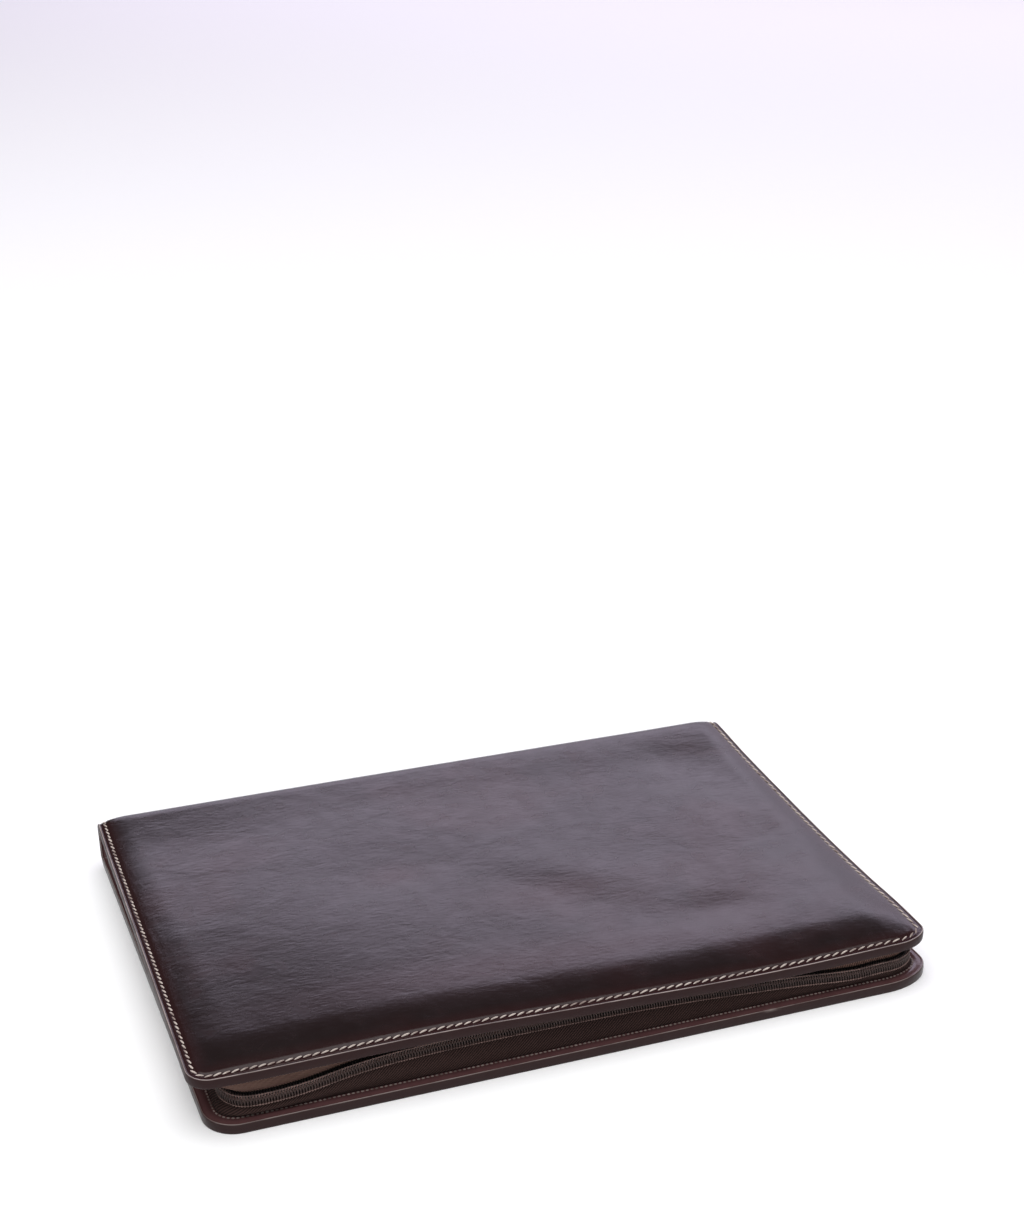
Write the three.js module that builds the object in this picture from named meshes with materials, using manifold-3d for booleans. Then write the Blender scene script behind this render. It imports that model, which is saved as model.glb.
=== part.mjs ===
// A zip-round leather document case, closed and lying flat.
// Millimetres. X runs along the spine, Y from the opening edge back to the spine, Z up.
// The origin is under the middle of the case, on the surface that it lies on.

import * as THREE from 'three';
import { mergeVertices } from 'three/addons/utils/BufferGeometryUtils.js';
import Module from 'manifold-3d';

// Driving sizes of the leather cover
const UPPER_WIDTH = 350.6;      // upper cover, end to end
const LOWER_TRIM = 1.4;           // the lower cover is narrower by this much
const DEPTH = 244.5;            // opening edge to the back of the spine
const FRONT_SLIP = 6.4;           // the lower cover lies this far to the right at the opening edge
const SPINE_SLIP = 0.5;         // and this far at the spine
const FRONT_HEIGHT = 30;        // rim of the upper cover at the opening edge
const SPINE_RIM_HEIGHT = 27.9;  // rim of the upper cover at the two ends of the spine
const CROWN = 3.7;              // padding that stands above the rim, behind the opening edge
const SPINE_CROWN = 2.3;        // the same at the spine
const ROLL_WIDTH = 27;          // band along the edges over which the padding rises
const SPINE_ROLL_WIDTH = 14;    // the same at the two ends of the spine
const SIDE_SAG = 2.4;           // how far the rim of a side can hang below a straight line
const UPPER_WALL = 4.5;         // thickness of the padded upper cover at its rim
const LOWER_WALL = 4.7;         // thickness of the padded lower cover
// Half axes of the elliptic corners at the opening edge
const UPPER_CORNERS = { left: { wide: 10, deep: 10 }, right: { wide: 17, deep: 11 } };
const LOWER_CORNERS = { left: { wide: 15, deep: 15 }, right: { wide: 27, deep: 17 } };
const EDGE_ROUND = 0.7;         // turned edge of the leather
const SPINE_WALL = 3;
const SPINE_ROUND = 9;          // radius from the upper cover into the spine
const SPINE_FOOT_ROUND = 6;     // radius from the spine into the lower cover

// Driving sizes of the gusset, the zip and the end tabs
const SEAM_INSET = 5.7;         // outer face of the gusset at its seams, in from each cover's edge
const TAPE = 1;                 // gusset cloth
const CHAIN_INSET = 8.5;        // deepest place of the zip chain, in from the covers' common edge
const CHAIN_WIDTH = 6;
const CHAIN_THICKNESS = 2.4;
const GUSSET_CORNERS = { left: { wide: 18, deep: 18 }, right: { wide: 20, deep: 17 } };
const GUSSET_BULGE = 3;         // how far the loose lower gusset can belly out
const ZIP_STOP = 49.75;         // the zip and its gusset end this far ahead of the spine's back
const TAB_LENGTH = 38;
const TAB_THICKNESS = 3;
const TAB_FOLD = 6.5;           // the tab's folded front end, which closes the zip's end
const TAB_INSET = 1.5;
const SLIDER_STOP = 28.5;       // middle of the slider, ahead of the zip's end, on the right
const SLIDER_LENGTH = 10;
const SLIDER_WALL = 1.3;
const PULL_LENGTH = 24;
const PULL_WIDTH = 5;
const PULL_THICKNESS = 1.2;
const GAP = 0.3;                // between neighbouring pieces

// Steps of the facets
const CORNER_STEPS = 5;
const FRONT_STEPS = 22;
const PANEL_STEPS = 13;
const SPINE_STEPS = 4;
const SIDE_STEPS = 6;
const TAB_STEPS = 6;
const ROLL_ROWS = [0.12, 0.3, 0.55, 0.8, 1];  // rows of the panel in its rising band, as shares of it

// Rim of the upper cover along the opening edge.
// across: share of the half width, left to right. height: share of FRONT_HEIGHT.
const FRONT_RIM = [
  { across: -1.00, height: 1.010 },
  { across: -0.83, height: 0.987 },
  { across: -0.49, height: 1.000 },
  { across: -0.28, height: 0.980 },
  { across: -0.07, height: 0.932 },
  { across: 0.15, height: 0.893 },
  { across: 0.37, height: 0.850 },
  { across: 0.60, height: 0.833 },
  { across: 0.83, height: 0.857 },
  { across: 1.00, height: 0.877 },
];

// Sag of the upper cover's rim along its two sides.
// back: share of the half depth, front to spine. left, right: shares of SIDE_SAG.
const SIDE_RIM = [
  { back: -1.00, left: 0.0, right: 0.00 },
  { back: -0.75, left: 0.1, right: 0.10 },
  { back: -0.50, left: 0.2, right: 0.75 },
  { back: -0.10, left: 0.3, right: 1.20 },
  { back: 0.35, left: 0.6, right: 1.05 },
  { back: 0.65, left: 0.7, right: 0.75 },
  { back: 0.85, left: 0.4, right: 0.20 },
  { back: 1.00, left: 0.0, right: 0.00 },
];

// Soft dents and swells of the upper cover.
// across, back: middle, as shares of the half width and the half depth.
// long, wide: reach, as shares of the half depth. turn: degrees from X. rise: share of CROWN.
const DENTS = [
  { across: 0.50, back: -0.56, long: 0.16, wide: 0.11, turn: 10, rise: -0.30 },
  { across: 0.15, back: -0.27, long: 0.34, wide: 0.13, turn: -47, rise: -0.26 },
  { across: 0.24, back: -0.12, long: 0.36, wide: 0.12, turn: -35, rise: 0.20 },
  { across: -0.30, back: 0.12, long: 0.30, wide: 0.24, turn: 20, rise: -0.14 },
  { across: 0.80, back: 0.52, long: 0.34, wide: 0.16, turn: -70, rise: -0.24 },
  { across: 0.88, back: -0.20, long: 0.26, wide: 0.14, turn: -80, rise: -0.20 },
  { across: -0.62, back: -0.35, long: 0.45, wide: 0.30, turn: 80, rise: 0.12 },
];

// Outline of an end tab, from its foot to its head.
// rise: share of its height. tuck: how far its face lies back there, as a share of its thickness.
const TAB_OUTLINE = [
  { rise: 0.00, tuck: 0.25 },
  { rise: 0.15, tuck: 0.00 },
  { rise: 0.50, tuck: -0.25 },
  { rise: 0.85, tuck: 0.00 },
  { rise: 1.00, tuck: 0.25 },
];

// Run of the zip from the left tab, round the opening, to the right tab.
// along: share of the run. inset: share of CHAIN_INSET. height: share of the gap between the covers.
// belly: share of GUSSET_BULGE, on the lower gusset.
const ZIP_RUN = [
  { along: 0.000, inset: 0.53, height: 0.50, belly: 0.0 },
  { along: 0.080, inset: 0.80, height: 0.48, belly: 0.0 },
  { along: 0.150, inset: 1.02, height: 0.46, belly: 0.1 },
  { along: 0.240, inset: 1.04, height: 0.45, belly: 0.3 },
  { along: 0.262, inset: 0.92, height: 0.45, belly: 0.5 },
  { along: 0.280, inset: 0.66, height: 0.45, belly: 0.8 },
  { along: 0.296, inset: 0.48, height: 0.46, belly: 0.9 },
  { along: 0.320, inset: 0.49, height: 0.49, belly: 0.8 },
  { along: 0.350, inset: 0.64, height: 0.59, belly: 0.6 },
  { along: 0.378, inset: 0.82, height: 0.63, belly: 0.5 },
  { along: 0.428, inset: 0.94, height: 0.66, belly: 0.3 },
  { along: 0.500, inset: 1.00, height: 0.69, belly: 0.2 },
  { along: 0.570, inset: 0.94, height: 0.68, belly: 0.2 },
  { along: 0.615, inset: 0.76, height: 0.64, belly: 0.2 },
  { along: 0.646, inset: 0.59, height: 0.60, belly: 0.3 },
  { along: 0.683, inset: 0.42, height: 0.48, belly: 0.4 },
  { along: 0.704, inset: 0.42, height: 0.50, belly: 0.3 },
  { along: 0.740, inset: 0.50, height: 0.47, belly: 0.1 },
  { along: 0.800, inset: 0.53, height: 0.48, belly: 0.0 },
  { along: 1.000, inset: 0.53, height: 0.50, belly: 0.0 },
];

const FRONT_Y = -DEPTH / 2;
const BACK_Y = DEPTH / 2;
const ZIP_END = BACK_Y - ZIP_STOP;
const SLIDER_PLACE = ZIP_END - SLIDER_STOP;
const LOWER_WIDTH = UPPER_WIDTH - LOWER_TRIM;
const UPPER_CENTRE = (UPPER_WIDTH / 2 - LOWER_WIDTH / 2 - FRONT_SLIP) / 2;

const mix = (from, to, share) => from + (to - from) * share;
const clamp01 = (value) => Math.min(1, Math.max(0, value));
const ease = (share) => { const s = clamp01(share); return s * s * (3 - 2 * s); };

/** Smooth value of one column of a table whose rows are ordered by the column key. */
function readTable(table, key, column, at) {
  const last = table.length - 1;
  if (at <= table[0][key]) return table[0][column];
  if (at >= table[last][key]) return table[last][column];
  const k = table.findIndex((row) => row[key] > at) - 1;
  const slope = (i) => {
    const a = table[Math.max(0, i - 1)];
    const b = table[Math.min(last, i + 1)];
    return (b[column] - a[column]) / (b[key] - a[key]);
  };
  const span = table[k + 1][key] - table[k][key];
  const t = (at - table[k][key]) / span;
  const rise = table[k + 1][column] - table[k][column];
  const bend = t * (1 - t) * ((1 - t) * (slope(k) * span - rise) - t * (slope(k + 1) * span - rise));
  return table[k][column] + rise * t + bend;
}

// Plan of the two covers

const depthShare = (y) => (y - FRONT_Y) / DEPTH;
const lowerCentre = (y) => UPPER_CENTRE + mix(FRONT_SLIP, SPINE_SLIP, depthShare(y));
const upperEdge = (side) => UPPER_CENTRE + side * UPPER_WIDTH / 2;
const lowerEdge = (y, side) => lowerCentre(y) + side * LOWER_WIDTH / 2;
/** The edge of whichever cover reaches less far on this side. */
function commonEdge(y, side) {
  return side * Math.min(side * upperEdge(side), side * lowerEdge(y, side));
}

// Heights of the upper cover

function rimHeight(x, y) {
  const across = (x - UPPER_CENTRE) / (UPPER_WIDTH / 2);
  const front = FRONT_HEIGHT * readTable(FRONT_RIM, 'across', 'height', across);
  const sag = (side) => SIDE_SAG * readTable(SIDE_RIM, 'back', side, y / (DEPTH / 2));
  const leftShare = clamp01((1 - across) / 2) ** 2;
  const rightShare = clamp01((1 + across) / 2) ** 2;
  return mix(front, SPINE_RIM_HEIGHT, depthShare(y)) - sag('left') * leftShare - sag('right') * rightShare;
}

/** How far the padding has risen at a place: 0 on the rim, 1 in the middle of the cover. */
function paddingShare(x, y) {
  const fromSide = UPPER_WIDTH / 2 - Math.abs(x - UPPER_CENTRE);
  const roll = (distance, width) => Math.sin(clamp01(distance / width) * Math.PI / 2);
  const sideRoll = roll(fromSide, mix(ROLL_WIDTH, SPINE_ROLL_WIDTH, depthShare(y)));
  return sideRoll * roll(y - FRONT_Y, ROLL_WIDTH);
}

function dentHeight(x, y) {
  let height = 0;
  for (const dent of DENTS) {
    const dx = x - UPPER_CENTRE - dent.across * UPPER_WIDTH / 2;
    const dy = y - dent.back * DEPTH / 2;
    const turn = THREE.MathUtils.degToRad(dent.turn);
    const along = (dx * Math.cos(turn) + dy * Math.sin(turn)) / (dent.long * DEPTH / 2);
    const across = (dy * Math.cos(turn) - dx * Math.sin(turn)) / (dent.wide * DEPTH / 2);
    height += dent.rise * CROWN * Math.exp(-(along * along) - across * across);
  }
  return height * paddingShare(x, y);
}

function outerHeight(x, y) {
  const crown = mix(CROWN, SPINE_CROWN, depthShare(y));
  return rimHeight(x, y) + crown * paddingShare(x, y) + dentHeight(x, y);
}

/** Underside of the upper cover. It stays flat near the seam, where the gusset is sewn on. */
function innerHeight(x, y) {
  const fromSide = UPPER_WIDTH / 2 - Math.abs(x - UPPER_CENTRE);
  const flat = ROLL_WIDTH / 2;
  const rise = ease((fromSide - flat) / ROLL_WIDTH) * ease((y - FRONT_Y - flat) / ROLL_WIDTH);
  return rimHeight(x, y) - UPPER_WALL + SPINE_CROWN / 2 * rise;
}

// Meshes

/** One closed body through sections of equal count; point k of a section faces point count - 1 - k. */
function loft(sections) {
  const count = sections[0].length;
  const positions = sections.flat(2);
  const index = [];
  const quad = (a, b, c, d) => index.push(a, b, c, a, c, d);
  for (let s = 0; s < sections.length - 1; s += 1) {
    for (let k = 0; k < count; k += 1) {
      const next = (k + 1) % count;
      quad(s * count + k, s * count + next, (s + 1) * count + next, (s + 1) * count + k);
    }
  }
  const end = (sections.length - 1) * count;
  for (let k = 0; k < count / 2 - 1; k += 1) {
    const [a, b, c, d] = [k, k + 1, count - 2 - k, count - 1 - k];
    quad(d, c, b, a);
    quad(end + a, end + b, end + c, end + d);
  }
  const geometry = new THREE.BufferGeometry();
  geometry.setAttribute('position', new THREE.Float32BufferAttribute(positions, 3));
  geometry.setIndex(signedVolume(positions, index) < 0 ? index.reverse() : index);
  geometry.computeVertexNormals();
  return geometry;
}

function signedVolume(positions, index) {
  const corner = (i) => new THREE.Vector3().fromArray(positions, index[i] * 3);
  let volume = 0;
  for (let i = 0; i < index.length; i += 3) {
    volume += corner(i).dot(corner(i + 1).cross(corner(i + 2))) / 6;
  }
  return volume;
}

/** Quarter of an ellipse from the level end [y0, z0] to the upright end [y1, z1]. */
function quarterRound([y0, z0], [y1, z1], steps) {
  const points = [];
  for (let k = 0; k <= steps; k += 1) {
    const angle = (k / steps) * Math.PI / 2;
    points.push([y0 + (y1 - y0) * Math.sin(angle), z1 + (z0 - z1) * Math.cos(angle)]);
  }
  return points;
}

/** Columns across a cover: x from its middle, and how far the round corner holds its front back. */
function coverColumns(halfWidth, corners) {
  const cornerColumns = (side, { wide, deep }) => {
    const columns = [];
    for (let k = 0; k < CORNER_STEPS; k += 1) {
      const angle = (k / CORNER_STEPS) * Math.PI / 2;
      const x = side * (halfWidth - wide * (1 - Math.cos(angle)));
      columns.push({ x, back: deep * (1 - Math.sin(angle)) });
    }
    return columns;
  };
  const straight = [];
  for (let k = 0; k <= FRONT_STEPS; k += 1) {
    const x = mix(corners.left.wide - halfWidth, halfWidth - corners.right.wide, k / FRONT_STEPS);
    straight.push({ x, back: 0 });
  }
  return [...cornerColumns(-1, corners.left), ...straight, ...cornerColumns(1, corners.right).reverse()];
}

/** Distances of the panel's rows from its front edge, closer together where the padding rises. */
function panelRows() {
  const span = DEPTH - SPINE_ROUND;
  const rows = ROLL_ROWS.map((share) => share * ROLL_WIDTH);
  for (let k = 1; k <= PANEL_STEPS; k += 1) rows.push(mix(ROLL_WIDTH, span, k / PANEL_STEPS));
  return rows;
}

/** The leather cover: upper panel, spine and lower panel in one padded piece. */
function leatherCover() {
  const upper = coverColumns(UPPER_WIDTH / 2, UPPER_CORNERS);
  const lower = coverColumns(LOWER_WIDTH / 2, LOWER_CORNERS);
  const rows = panelRows();
  const spineLine = BACK_Y - SPINE_ROUND;
  const sections = upper.map((column, i) => {
    const pinch = i === 0 || i === upper.length - 1 ? EDGE_ROUND : 0;
    const hold = (distance, back) => FRONT_Y + distance + back * (1 - distance / (DEPTH - SPINE_ROUND));
    const upperX = UPPER_CENTRE + column.x;
    const lowerX = (y) => lowerCentre(y) + lower[i].x;
    const outer = [];
    const inner = [];

    const upperFront = hold(0, column.back);
    const rim = rimHeight(upperX, upperFront);
    const lip = rim - UPPER_WALL;
    outer.push([upperX, upperFront, lip + EDGE_ROUND], [upperX, upperFront, rim - EDGE_ROUND - pinch]);
    outer.push([upperX, upperFront + EDGE_ROUND, rim - pinch]);
    inner.push([upperX, upperFront + EDGE_ROUND, lip], [upperX, upperFront + UPPER_WALL / 4, lip]);
    inner.push([upperX, upperFront + UPPER_WALL / 2, lip]);
    for (const distance of rows) {
      const y = hold(distance, column.back);
      outer.push([upperX, y, outerHeight(upperX, y) - pinch]);
      inner.push([upperX, y, innerHeight(upperX, y)]);
    }

    const top = outerHeight(upperX, spineLine) - pinch;
    const footLine = BACK_Y - SPINE_FOOT_ROUND;
    const spineTurn = (back, high, low) => [
      ...quarterRound([spineLine, high], [back, top - SPINE_ROUND], SPINE_STEPS).slice(1),
      ...quarterRound([footLine, low], [back, SPINE_FOOT_ROUND], SPINE_STEPS).reverse(),
    ];
    const outerTurn = spineTurn(BACK_Y - pinch, top, pinch);
    const innerTurn = spineTurn(BACK_Y - SPINE_WALL, innerHeight(upperX, spineLine), LOWER_WALL);
    outerTurn.forEach(([y, z], k) => {
      const x = mix(upperX, lowerX(y), ease(k / (outerTurn.length - 1)));
      outer.push([x, y, z]);
      inner.push([x, innerTurn[k][0], innerTurn[k][1]]);
    });

    const lowerRows = rows.slice(0, -1).filter((row, k) => k < 3 || k % 3 === 0).reverse();
    for (const distance of lowerRows) {
      const y = hold(distance, lower[i].back);
      outer.push([lowerX(y), y, pinch]);
      inner.push([lowerX(y), y, LOWER_WALL]);
    }
    const lowerFront = hold(0, lower[i].back);
    const x = lowerX(lowerFront);
    outer.push([x, lowerFront + EDGE_ROUND, pinch], [x, lowerFront, EDGE_ROUND + pinch]);
    outer.push([x, lowerFront, LOWER_WALL - EDGE_ROUND]);
    inner.push([x, lowerFront + LOWER_WALL / 2, LOWER_WALL], [x, lowerFront + LOWER_WALL / 4, LOWER_WALL]);
    inner.push([x, lowerFront + EDGE_ROUND, LOWER_WALL]);
    return [...outer, ...inner.reverse()];
  });
  return loft(sections);
}

/** Stations round the opening, from the left tab to the right tab, on an outline of two edges. */
function openingRun(edge, corners, endY) {
  const half = (side, { wide, deep }) => {
    const stations = [];
    const centreY = FRONT_Y + deep;
    for (let k = 0; k < SIDE_STEPS; k += 1) {
      const y = mix(endY, centreY, k / SIDE_STEPS);
      stations.push({ x: edge(y, side), y, nx: side, ny: 0 });
    }
    for (let k = 0; k < CORNER_STEPS; k += 1) {
      const angle = (k / CORNER_STEPS) * Math.PI / 2;
      const y = centreY - deep * Math.sin(angle);
      const x = edge(y, side) - side * wide * (1 - Math.cos(angle));
      const normal = new THREE.Vector2(side * deep * Math.cos(angle), -wide * Math.sin(angle)).normalize();
      stations.push({ x, y, nx: normal.x, ny: normal.y });
    }
    return stations;
  };
  const left = edge(FRONT_Y, -1) + corners.left.wide;
  const right = edge(FRONT_Y, 1) - corners.right.wide;
  const front = [];
  for (let k = 0; k <= FRONT_STEPS; k += 1) {
    front.push({ x: mix(left, right, k / FRONT_STEPS), y: FRONT_Y, nx: 0, ny: -1 });
  }
  return [...half(-1, corners.left), ...front, ...half(1, corners.right).reverse()];
}

/** The zip's middle line: a place, its outward direction, its height and the gusset's belly. */
function zipLine() {
  const run = openingRun(commonEdge, GUSSET_CORNERS, ZIP_END);
  const travelled = [0];
  for (let k = 1; k < run.length; k += 1) {
    travelled.push(travelled[k - 1] + Math.hypot(run[k].x - run[k - 1].x, run[k].y - run[k - 1].y));
  }
  return run.map((station, k) => {
    const along = travelled[k] / travelled[run.length - 1];
    const read = (column) => readTable(ZIP_RUN, 'along', column, along);
    const place = inward(station, CHAIN_INSET * read('inset'));
    const height = mix(LOWER_WALL, innerHeight(place.x, place.y), read('height'));
    return { ...place, height, belly: GUSSET_BULGE * read('belly') };
  });
}

const inward = ({ x, y, nx, ny }, distance) => ({ x: x - nx * distance, y: y - ny * distance, nx, ny });

/** A band of cloth or coil: its face points outwards, its back lies one thickness further in. */
function band(rows, thickness) {
  const face = rows.map(({ place, z }) => [place.x, place.y, z]);
  const back = rows.map(({ place, z }) => {
    const { x, y } = inward(place, thickness);
    return [x, y, z];
  });
  return [...face, ...back.reverse()];
}

/** Gusset cloth between one cover's seam and the middle of the zip chain. */
function zipTape(isUpper) {
  const edge = isUpper ? (y, side) => upperEdge(side) : lowerEdge;
  const feet = openingRun(edge, isUpper ? UPPER_CORNERS : LOWER_CORNERS, ZIP_END);
  const side = isUpper ? 1 : -1;
  return loft(zipLine().map((chain, k) => {
    const foot = inward(feet[k], SEAM_INSET);
    const footZ = isUpper ? innerHeight(foot.x, foot.y) - GAP : LOWER_WALL + GAP;
    const behind = inward(chain, CHAIN_THICKNESS / 2 + GAP);
    const chainZ = chain.height + side * (CHAIN_WIDTH / 2 + GAP);
    const between = (share) => {
      const belly = isUpper ? 0 : chain.belly * Math.sin(Math.PI * share);
      const place = {
        x: mix(foot.x, behind.x, share) + chain.nx * belly,
        y: mix(foot.y, behind.y, share) + chain.ny * belly,
        nx: chain.nx,
        ny: chain.ny,
      };
      return { place, z: mix(footZ, chainZ, share) };
    };
    return band([between(0), between(1 / 3), between(2 / 3), between(1),
      { place: behind, z: chain.height + side * GAP / 2 }], TAPE);
  }));
}

/** One half of the zip's coil, as the plain band that its turns fill. */
function zipCoil(isUpper) {
  const side = isUpper ? 1 : -1;
  const bevel = CHAIN_THICKNESS / 4;
  return loft(zipLine().map((chain) => {
    const face = inward(chain, -CHAIN_THICKNESS / 2);
    const low = chain.height + side * GAP / 2;
    const high = chain.height + side * CHAIN_WIDTH / 2;
    const back = inward(chain, CHAIN_THICKNESS / 2);
    const point = ({ x, y }, z) => [x, y, z];
    const shoulder = inward(face, bevel);
    return [point(face, low), point(face, mix(low, high, 0.5)), point(shoulder, high),
      point(back, high), point(back, mix(low, high, 0.5)), point(back, low)];
  }));
}

/** Leather tab between the covers that closes the gusset towards the spine. */
function endTab(side) {
  const sections = [];
  for (let k = 0; k <= TAB_STEPS; k += 1) {
    const along = TAB_LENGTH * k / TAB_STEPS;
    const y = ZIP_END + GAP + along;
    const place = inward({ x: commonEdge(y, side), y, nx: side, ny: 0 }, TAB_INSET);
    const thickness = mix(TAB_FOLD, TAB_THICKNESS, ease(along / (2 * TAB_FOLD)));
    const high = innerHeight(place.x, y) - GAP;
    const face = [];
    const back = [];
    for (const { rise, tuck } of TAB_OUTLINE) {
      const z = mix(LOWER_WALL + GAP, high, rise);
      face.push([inward(place, tuck * TAB_THICKNESS).x, y, z]);
      back.push([inward(place, thickness).x, y, z]);
    }
    sections.push([...face, ...back.reverse()]);
  }
  return loft(sections);
}

const wasm = await Module();
wasm.setup();

/** A closed box between two corners, as a solid that can be joined. */
function boxSolid(low, high) {
  const size = high.map((value, k) => value - low[k]);
  const box = new THREE.BoxGeometry(...size);
  box.translate(...low.map((value, k) => value + size[k] / 2));
  box.deleteAttribute('normal');
  box.deleteAttribute('uv');
  const merged = mergeVertices(box);
  const vertProperties = new Float32Array(merged.attributes.position.array);
  const triVerts = new Uint32Array(merged.index.array);
  return new wasm.Manifold(new wasm.Mesh({ numProp: 3, vertProperties, triVerts }));
}

function solidGeometry(solid) {
  const mesh = solid.getMesh();
  const geometry = new THREE.BufferGeometry();
  geometry.setAttribute('position', new THREE.Float32BufferAttribute(Array.from(mesh.vertProperties), 3));
  geometry.setIndex(Array.from(mesh.triVerts));
  geometry.computeVertexNormals();
  return geometry;
}

/** The slider on the right-hand side, drawn shut, with its pull, as one plain piece. */
function zipSlider() {
  const line = zipLine();
  const near = line.filter(({ x, y }) => x > 0 && Math.abs(y - SLIDER_PLACE) < SLIDER_LENGTH * 3);
  const widest = Math.max(...near.map(({ x }) => x));
  const middle = near.reduce((sum, { height }) => sum + height, 0) / near.length;
  const from = SLIDER_PLACE - SLIDER_LENGTH / 2;
  const to = SLIDER_PLACE + SLIDER_LENGTH / 2;
  const faceX = widest + CHAIN_THICKNESS / 2 + 2 * GAP;
  const half = CHAIN_WIDTH / 2 + 3 * GAP;
  const plate = boxSolid([faceX, from, middle - half - SLIDER_WALL],
    [faceX + SLIDER_WALL, to, middle + half + SLIDER_WALL]);
  const flange = (low, high) => boxSolid([widest - CHAIN_THICKNESS / 2 + 2 * GAP, from, low],
    [faceX + SLIDER_WALL / 2, to, high]);
  const upperFlange = flange(middle + half, middle + half + SLIDER_WALL);
  const lowerFlange = flange(middle - half - SLIDER_WALL, middle - half);
  const pullX = faceX + SLIDER_WALL / 2;
  const pull = boxSolid([pullX, to - SLIDER_LENGTH / 2 - PULL_LENGTH, middle - PULL_WIDTH / 2],
    [pullX + PULL_THICKNESS, to - SLIDER_LENGTH / 2, middle + PULL_WIDTH / 2]);
  return solidGeometry(plate.add(upperFlange).add(lowerFlange).add(pull));
}

// Finishes

function finish(color, roughness, metalness = 0) {
  return new THREE.MeshStandardMaterial({ color, roughness, metalness });
}

const leather = () => finish('#3a2422', 0.38);
const tabLeather = () => finish('#4a3f36', 0.6);
const cloth = () => finish('#33211e', 0.9);
const nylon = () => finish('#241a18', 0.5);
const darkMetal = () => finish('#5b4d42', 0.35, 1);

const documentCase = new THREE.Group();

function addPiece(name, geometry, material) {
  const mesh = new THREE.Mesh(geometry, material);
  mesh.name = name;
  documentCase.add(mesh);
}

addPiece('leather_cover', leatherCover(), leather());
addPiece('zip_tape_upper', zipTape(true), cloth());
addPiece('zip_tape_lower', zipTape(false), cloth());
addPiece('zip_coil_upper', zipCoil(true), nylon());
addPiece('zip_coil_lower', zipCoil(false), nylon());
addPiece('zip_slider', zipSlider(), darkMetal());
addPiece('end_tab_left', endTab(-1), tabLeather());
addPiece('end_tab_right', endTab(1), tabLeather());

export default documentCase;
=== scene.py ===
"""A zip-round leather document case, closed and lying flat, dressed and lit as in its photograph.

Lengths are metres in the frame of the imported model: X along the spine, Y from the opening edge back
to the spine, Z up from the surface that the case lies on.
"""

import logging
import math
from dataclasses import dataclass
from enum import Enum
from functools import partial
from typing import Callable

import bpy
import numpy as np
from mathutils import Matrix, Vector


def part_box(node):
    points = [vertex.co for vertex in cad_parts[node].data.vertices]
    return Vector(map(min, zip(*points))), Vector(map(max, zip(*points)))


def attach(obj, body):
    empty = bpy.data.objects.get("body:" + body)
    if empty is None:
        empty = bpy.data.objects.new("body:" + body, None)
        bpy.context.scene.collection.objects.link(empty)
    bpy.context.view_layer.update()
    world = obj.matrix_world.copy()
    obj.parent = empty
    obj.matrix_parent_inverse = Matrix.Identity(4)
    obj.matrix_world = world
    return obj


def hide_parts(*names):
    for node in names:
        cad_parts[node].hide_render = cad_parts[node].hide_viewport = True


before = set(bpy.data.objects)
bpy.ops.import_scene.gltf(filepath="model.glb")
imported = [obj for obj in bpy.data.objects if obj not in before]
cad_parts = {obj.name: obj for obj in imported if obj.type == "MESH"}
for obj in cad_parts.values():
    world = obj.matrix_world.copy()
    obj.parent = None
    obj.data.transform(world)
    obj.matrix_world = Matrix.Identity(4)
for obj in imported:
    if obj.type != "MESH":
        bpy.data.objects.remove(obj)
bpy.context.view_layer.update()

logging.basicConfig(level=logging.INFO, format="%(message)s")
log = logging.getLogger("document_case")

Array = np.ndarray
Colour = tuple[float, float, float]
Triple = tuple[float, float, float]


class Half(Enum):
    """The two halves of the case that the zip parts."""

    UPPER = 1
    LOWER = -1


class Side(Enum):
    """The two ends of the case, seen from the opening edge."""

    LEFT = -1
    RIGHT = 1


def smooth_table(table: Array, at: Array) -> Array:
    """Smooth curve through the rows of a table.

    Args:
        table: rows of (place, value), ordered by place.
        at: the places to read.

    Returns:
        The values there, held constant beyond both ends.
    """
    place, value = np.asarray(table, float).T
    slope = np.gradient(value, place)
    slope[1:-1] = (value[2:] - value[:-2]) / (place[2:] - place[:-2])
    at = np.clip(at, place[0], place[-1])
    k = np.clip(np.searchsorted(place, at, side="right") - 1, 0, len(place) - 2)
    span = place[k + 1] - place[k]
    rise = value[k + 1] - value[k]
    t = (at - place[k]) / span
    bend = (1 - t) * (slope[k] * span - rise) - t * (slope[k + 1] * span - rise)
    return value[k] + rise * t + t * (1 - t) * bend


def ease(share: Array) -> Array:
    """Soft step from 0 to 1."""
    share = np.clip(share, 0, 1)
    return share * share * (3 - 2 * share)


@dataclass(frozen=True)
class Corner:
    """Half axes of one elliptic corner at the opening edge."""

    wide: float
    deep: float


@dataclass(frozen=True)
class Swell:
    """One soft dent or swell of the upper cover.

    across and back place its middle, as shares of the half width and the half depth. long and wide are
    its reach, as shares of the half depth. turn is in degrees from X, and rise is in metres.
    """

    across: float
    back: float
    long: float
    wide: float
    turn: float
    rise: float


SWELLS = (
    Swell(0.50, -0.56, 0.16, 0.11, 10, -0.00058),
    Swell(0.15, -0.27, 0.34, 0.15, -47, -0.00036),
    Swell(0.24, -0.12, 0.36, 0.14, -35, 0.00026),
    Swell(-0.30, 0.12, 0.30, 0.24, 20, -0.00052),
    Swell(0.80, 0.52, 0.34, 0.18, -70, -0.00058),
    Swell(0.88, -0.20, 0.26, 0.16, -80, -0.00052),
    Swell(-0.62, -0.35, 0.45, 0.30, 80, 0.00044),
)

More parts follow.
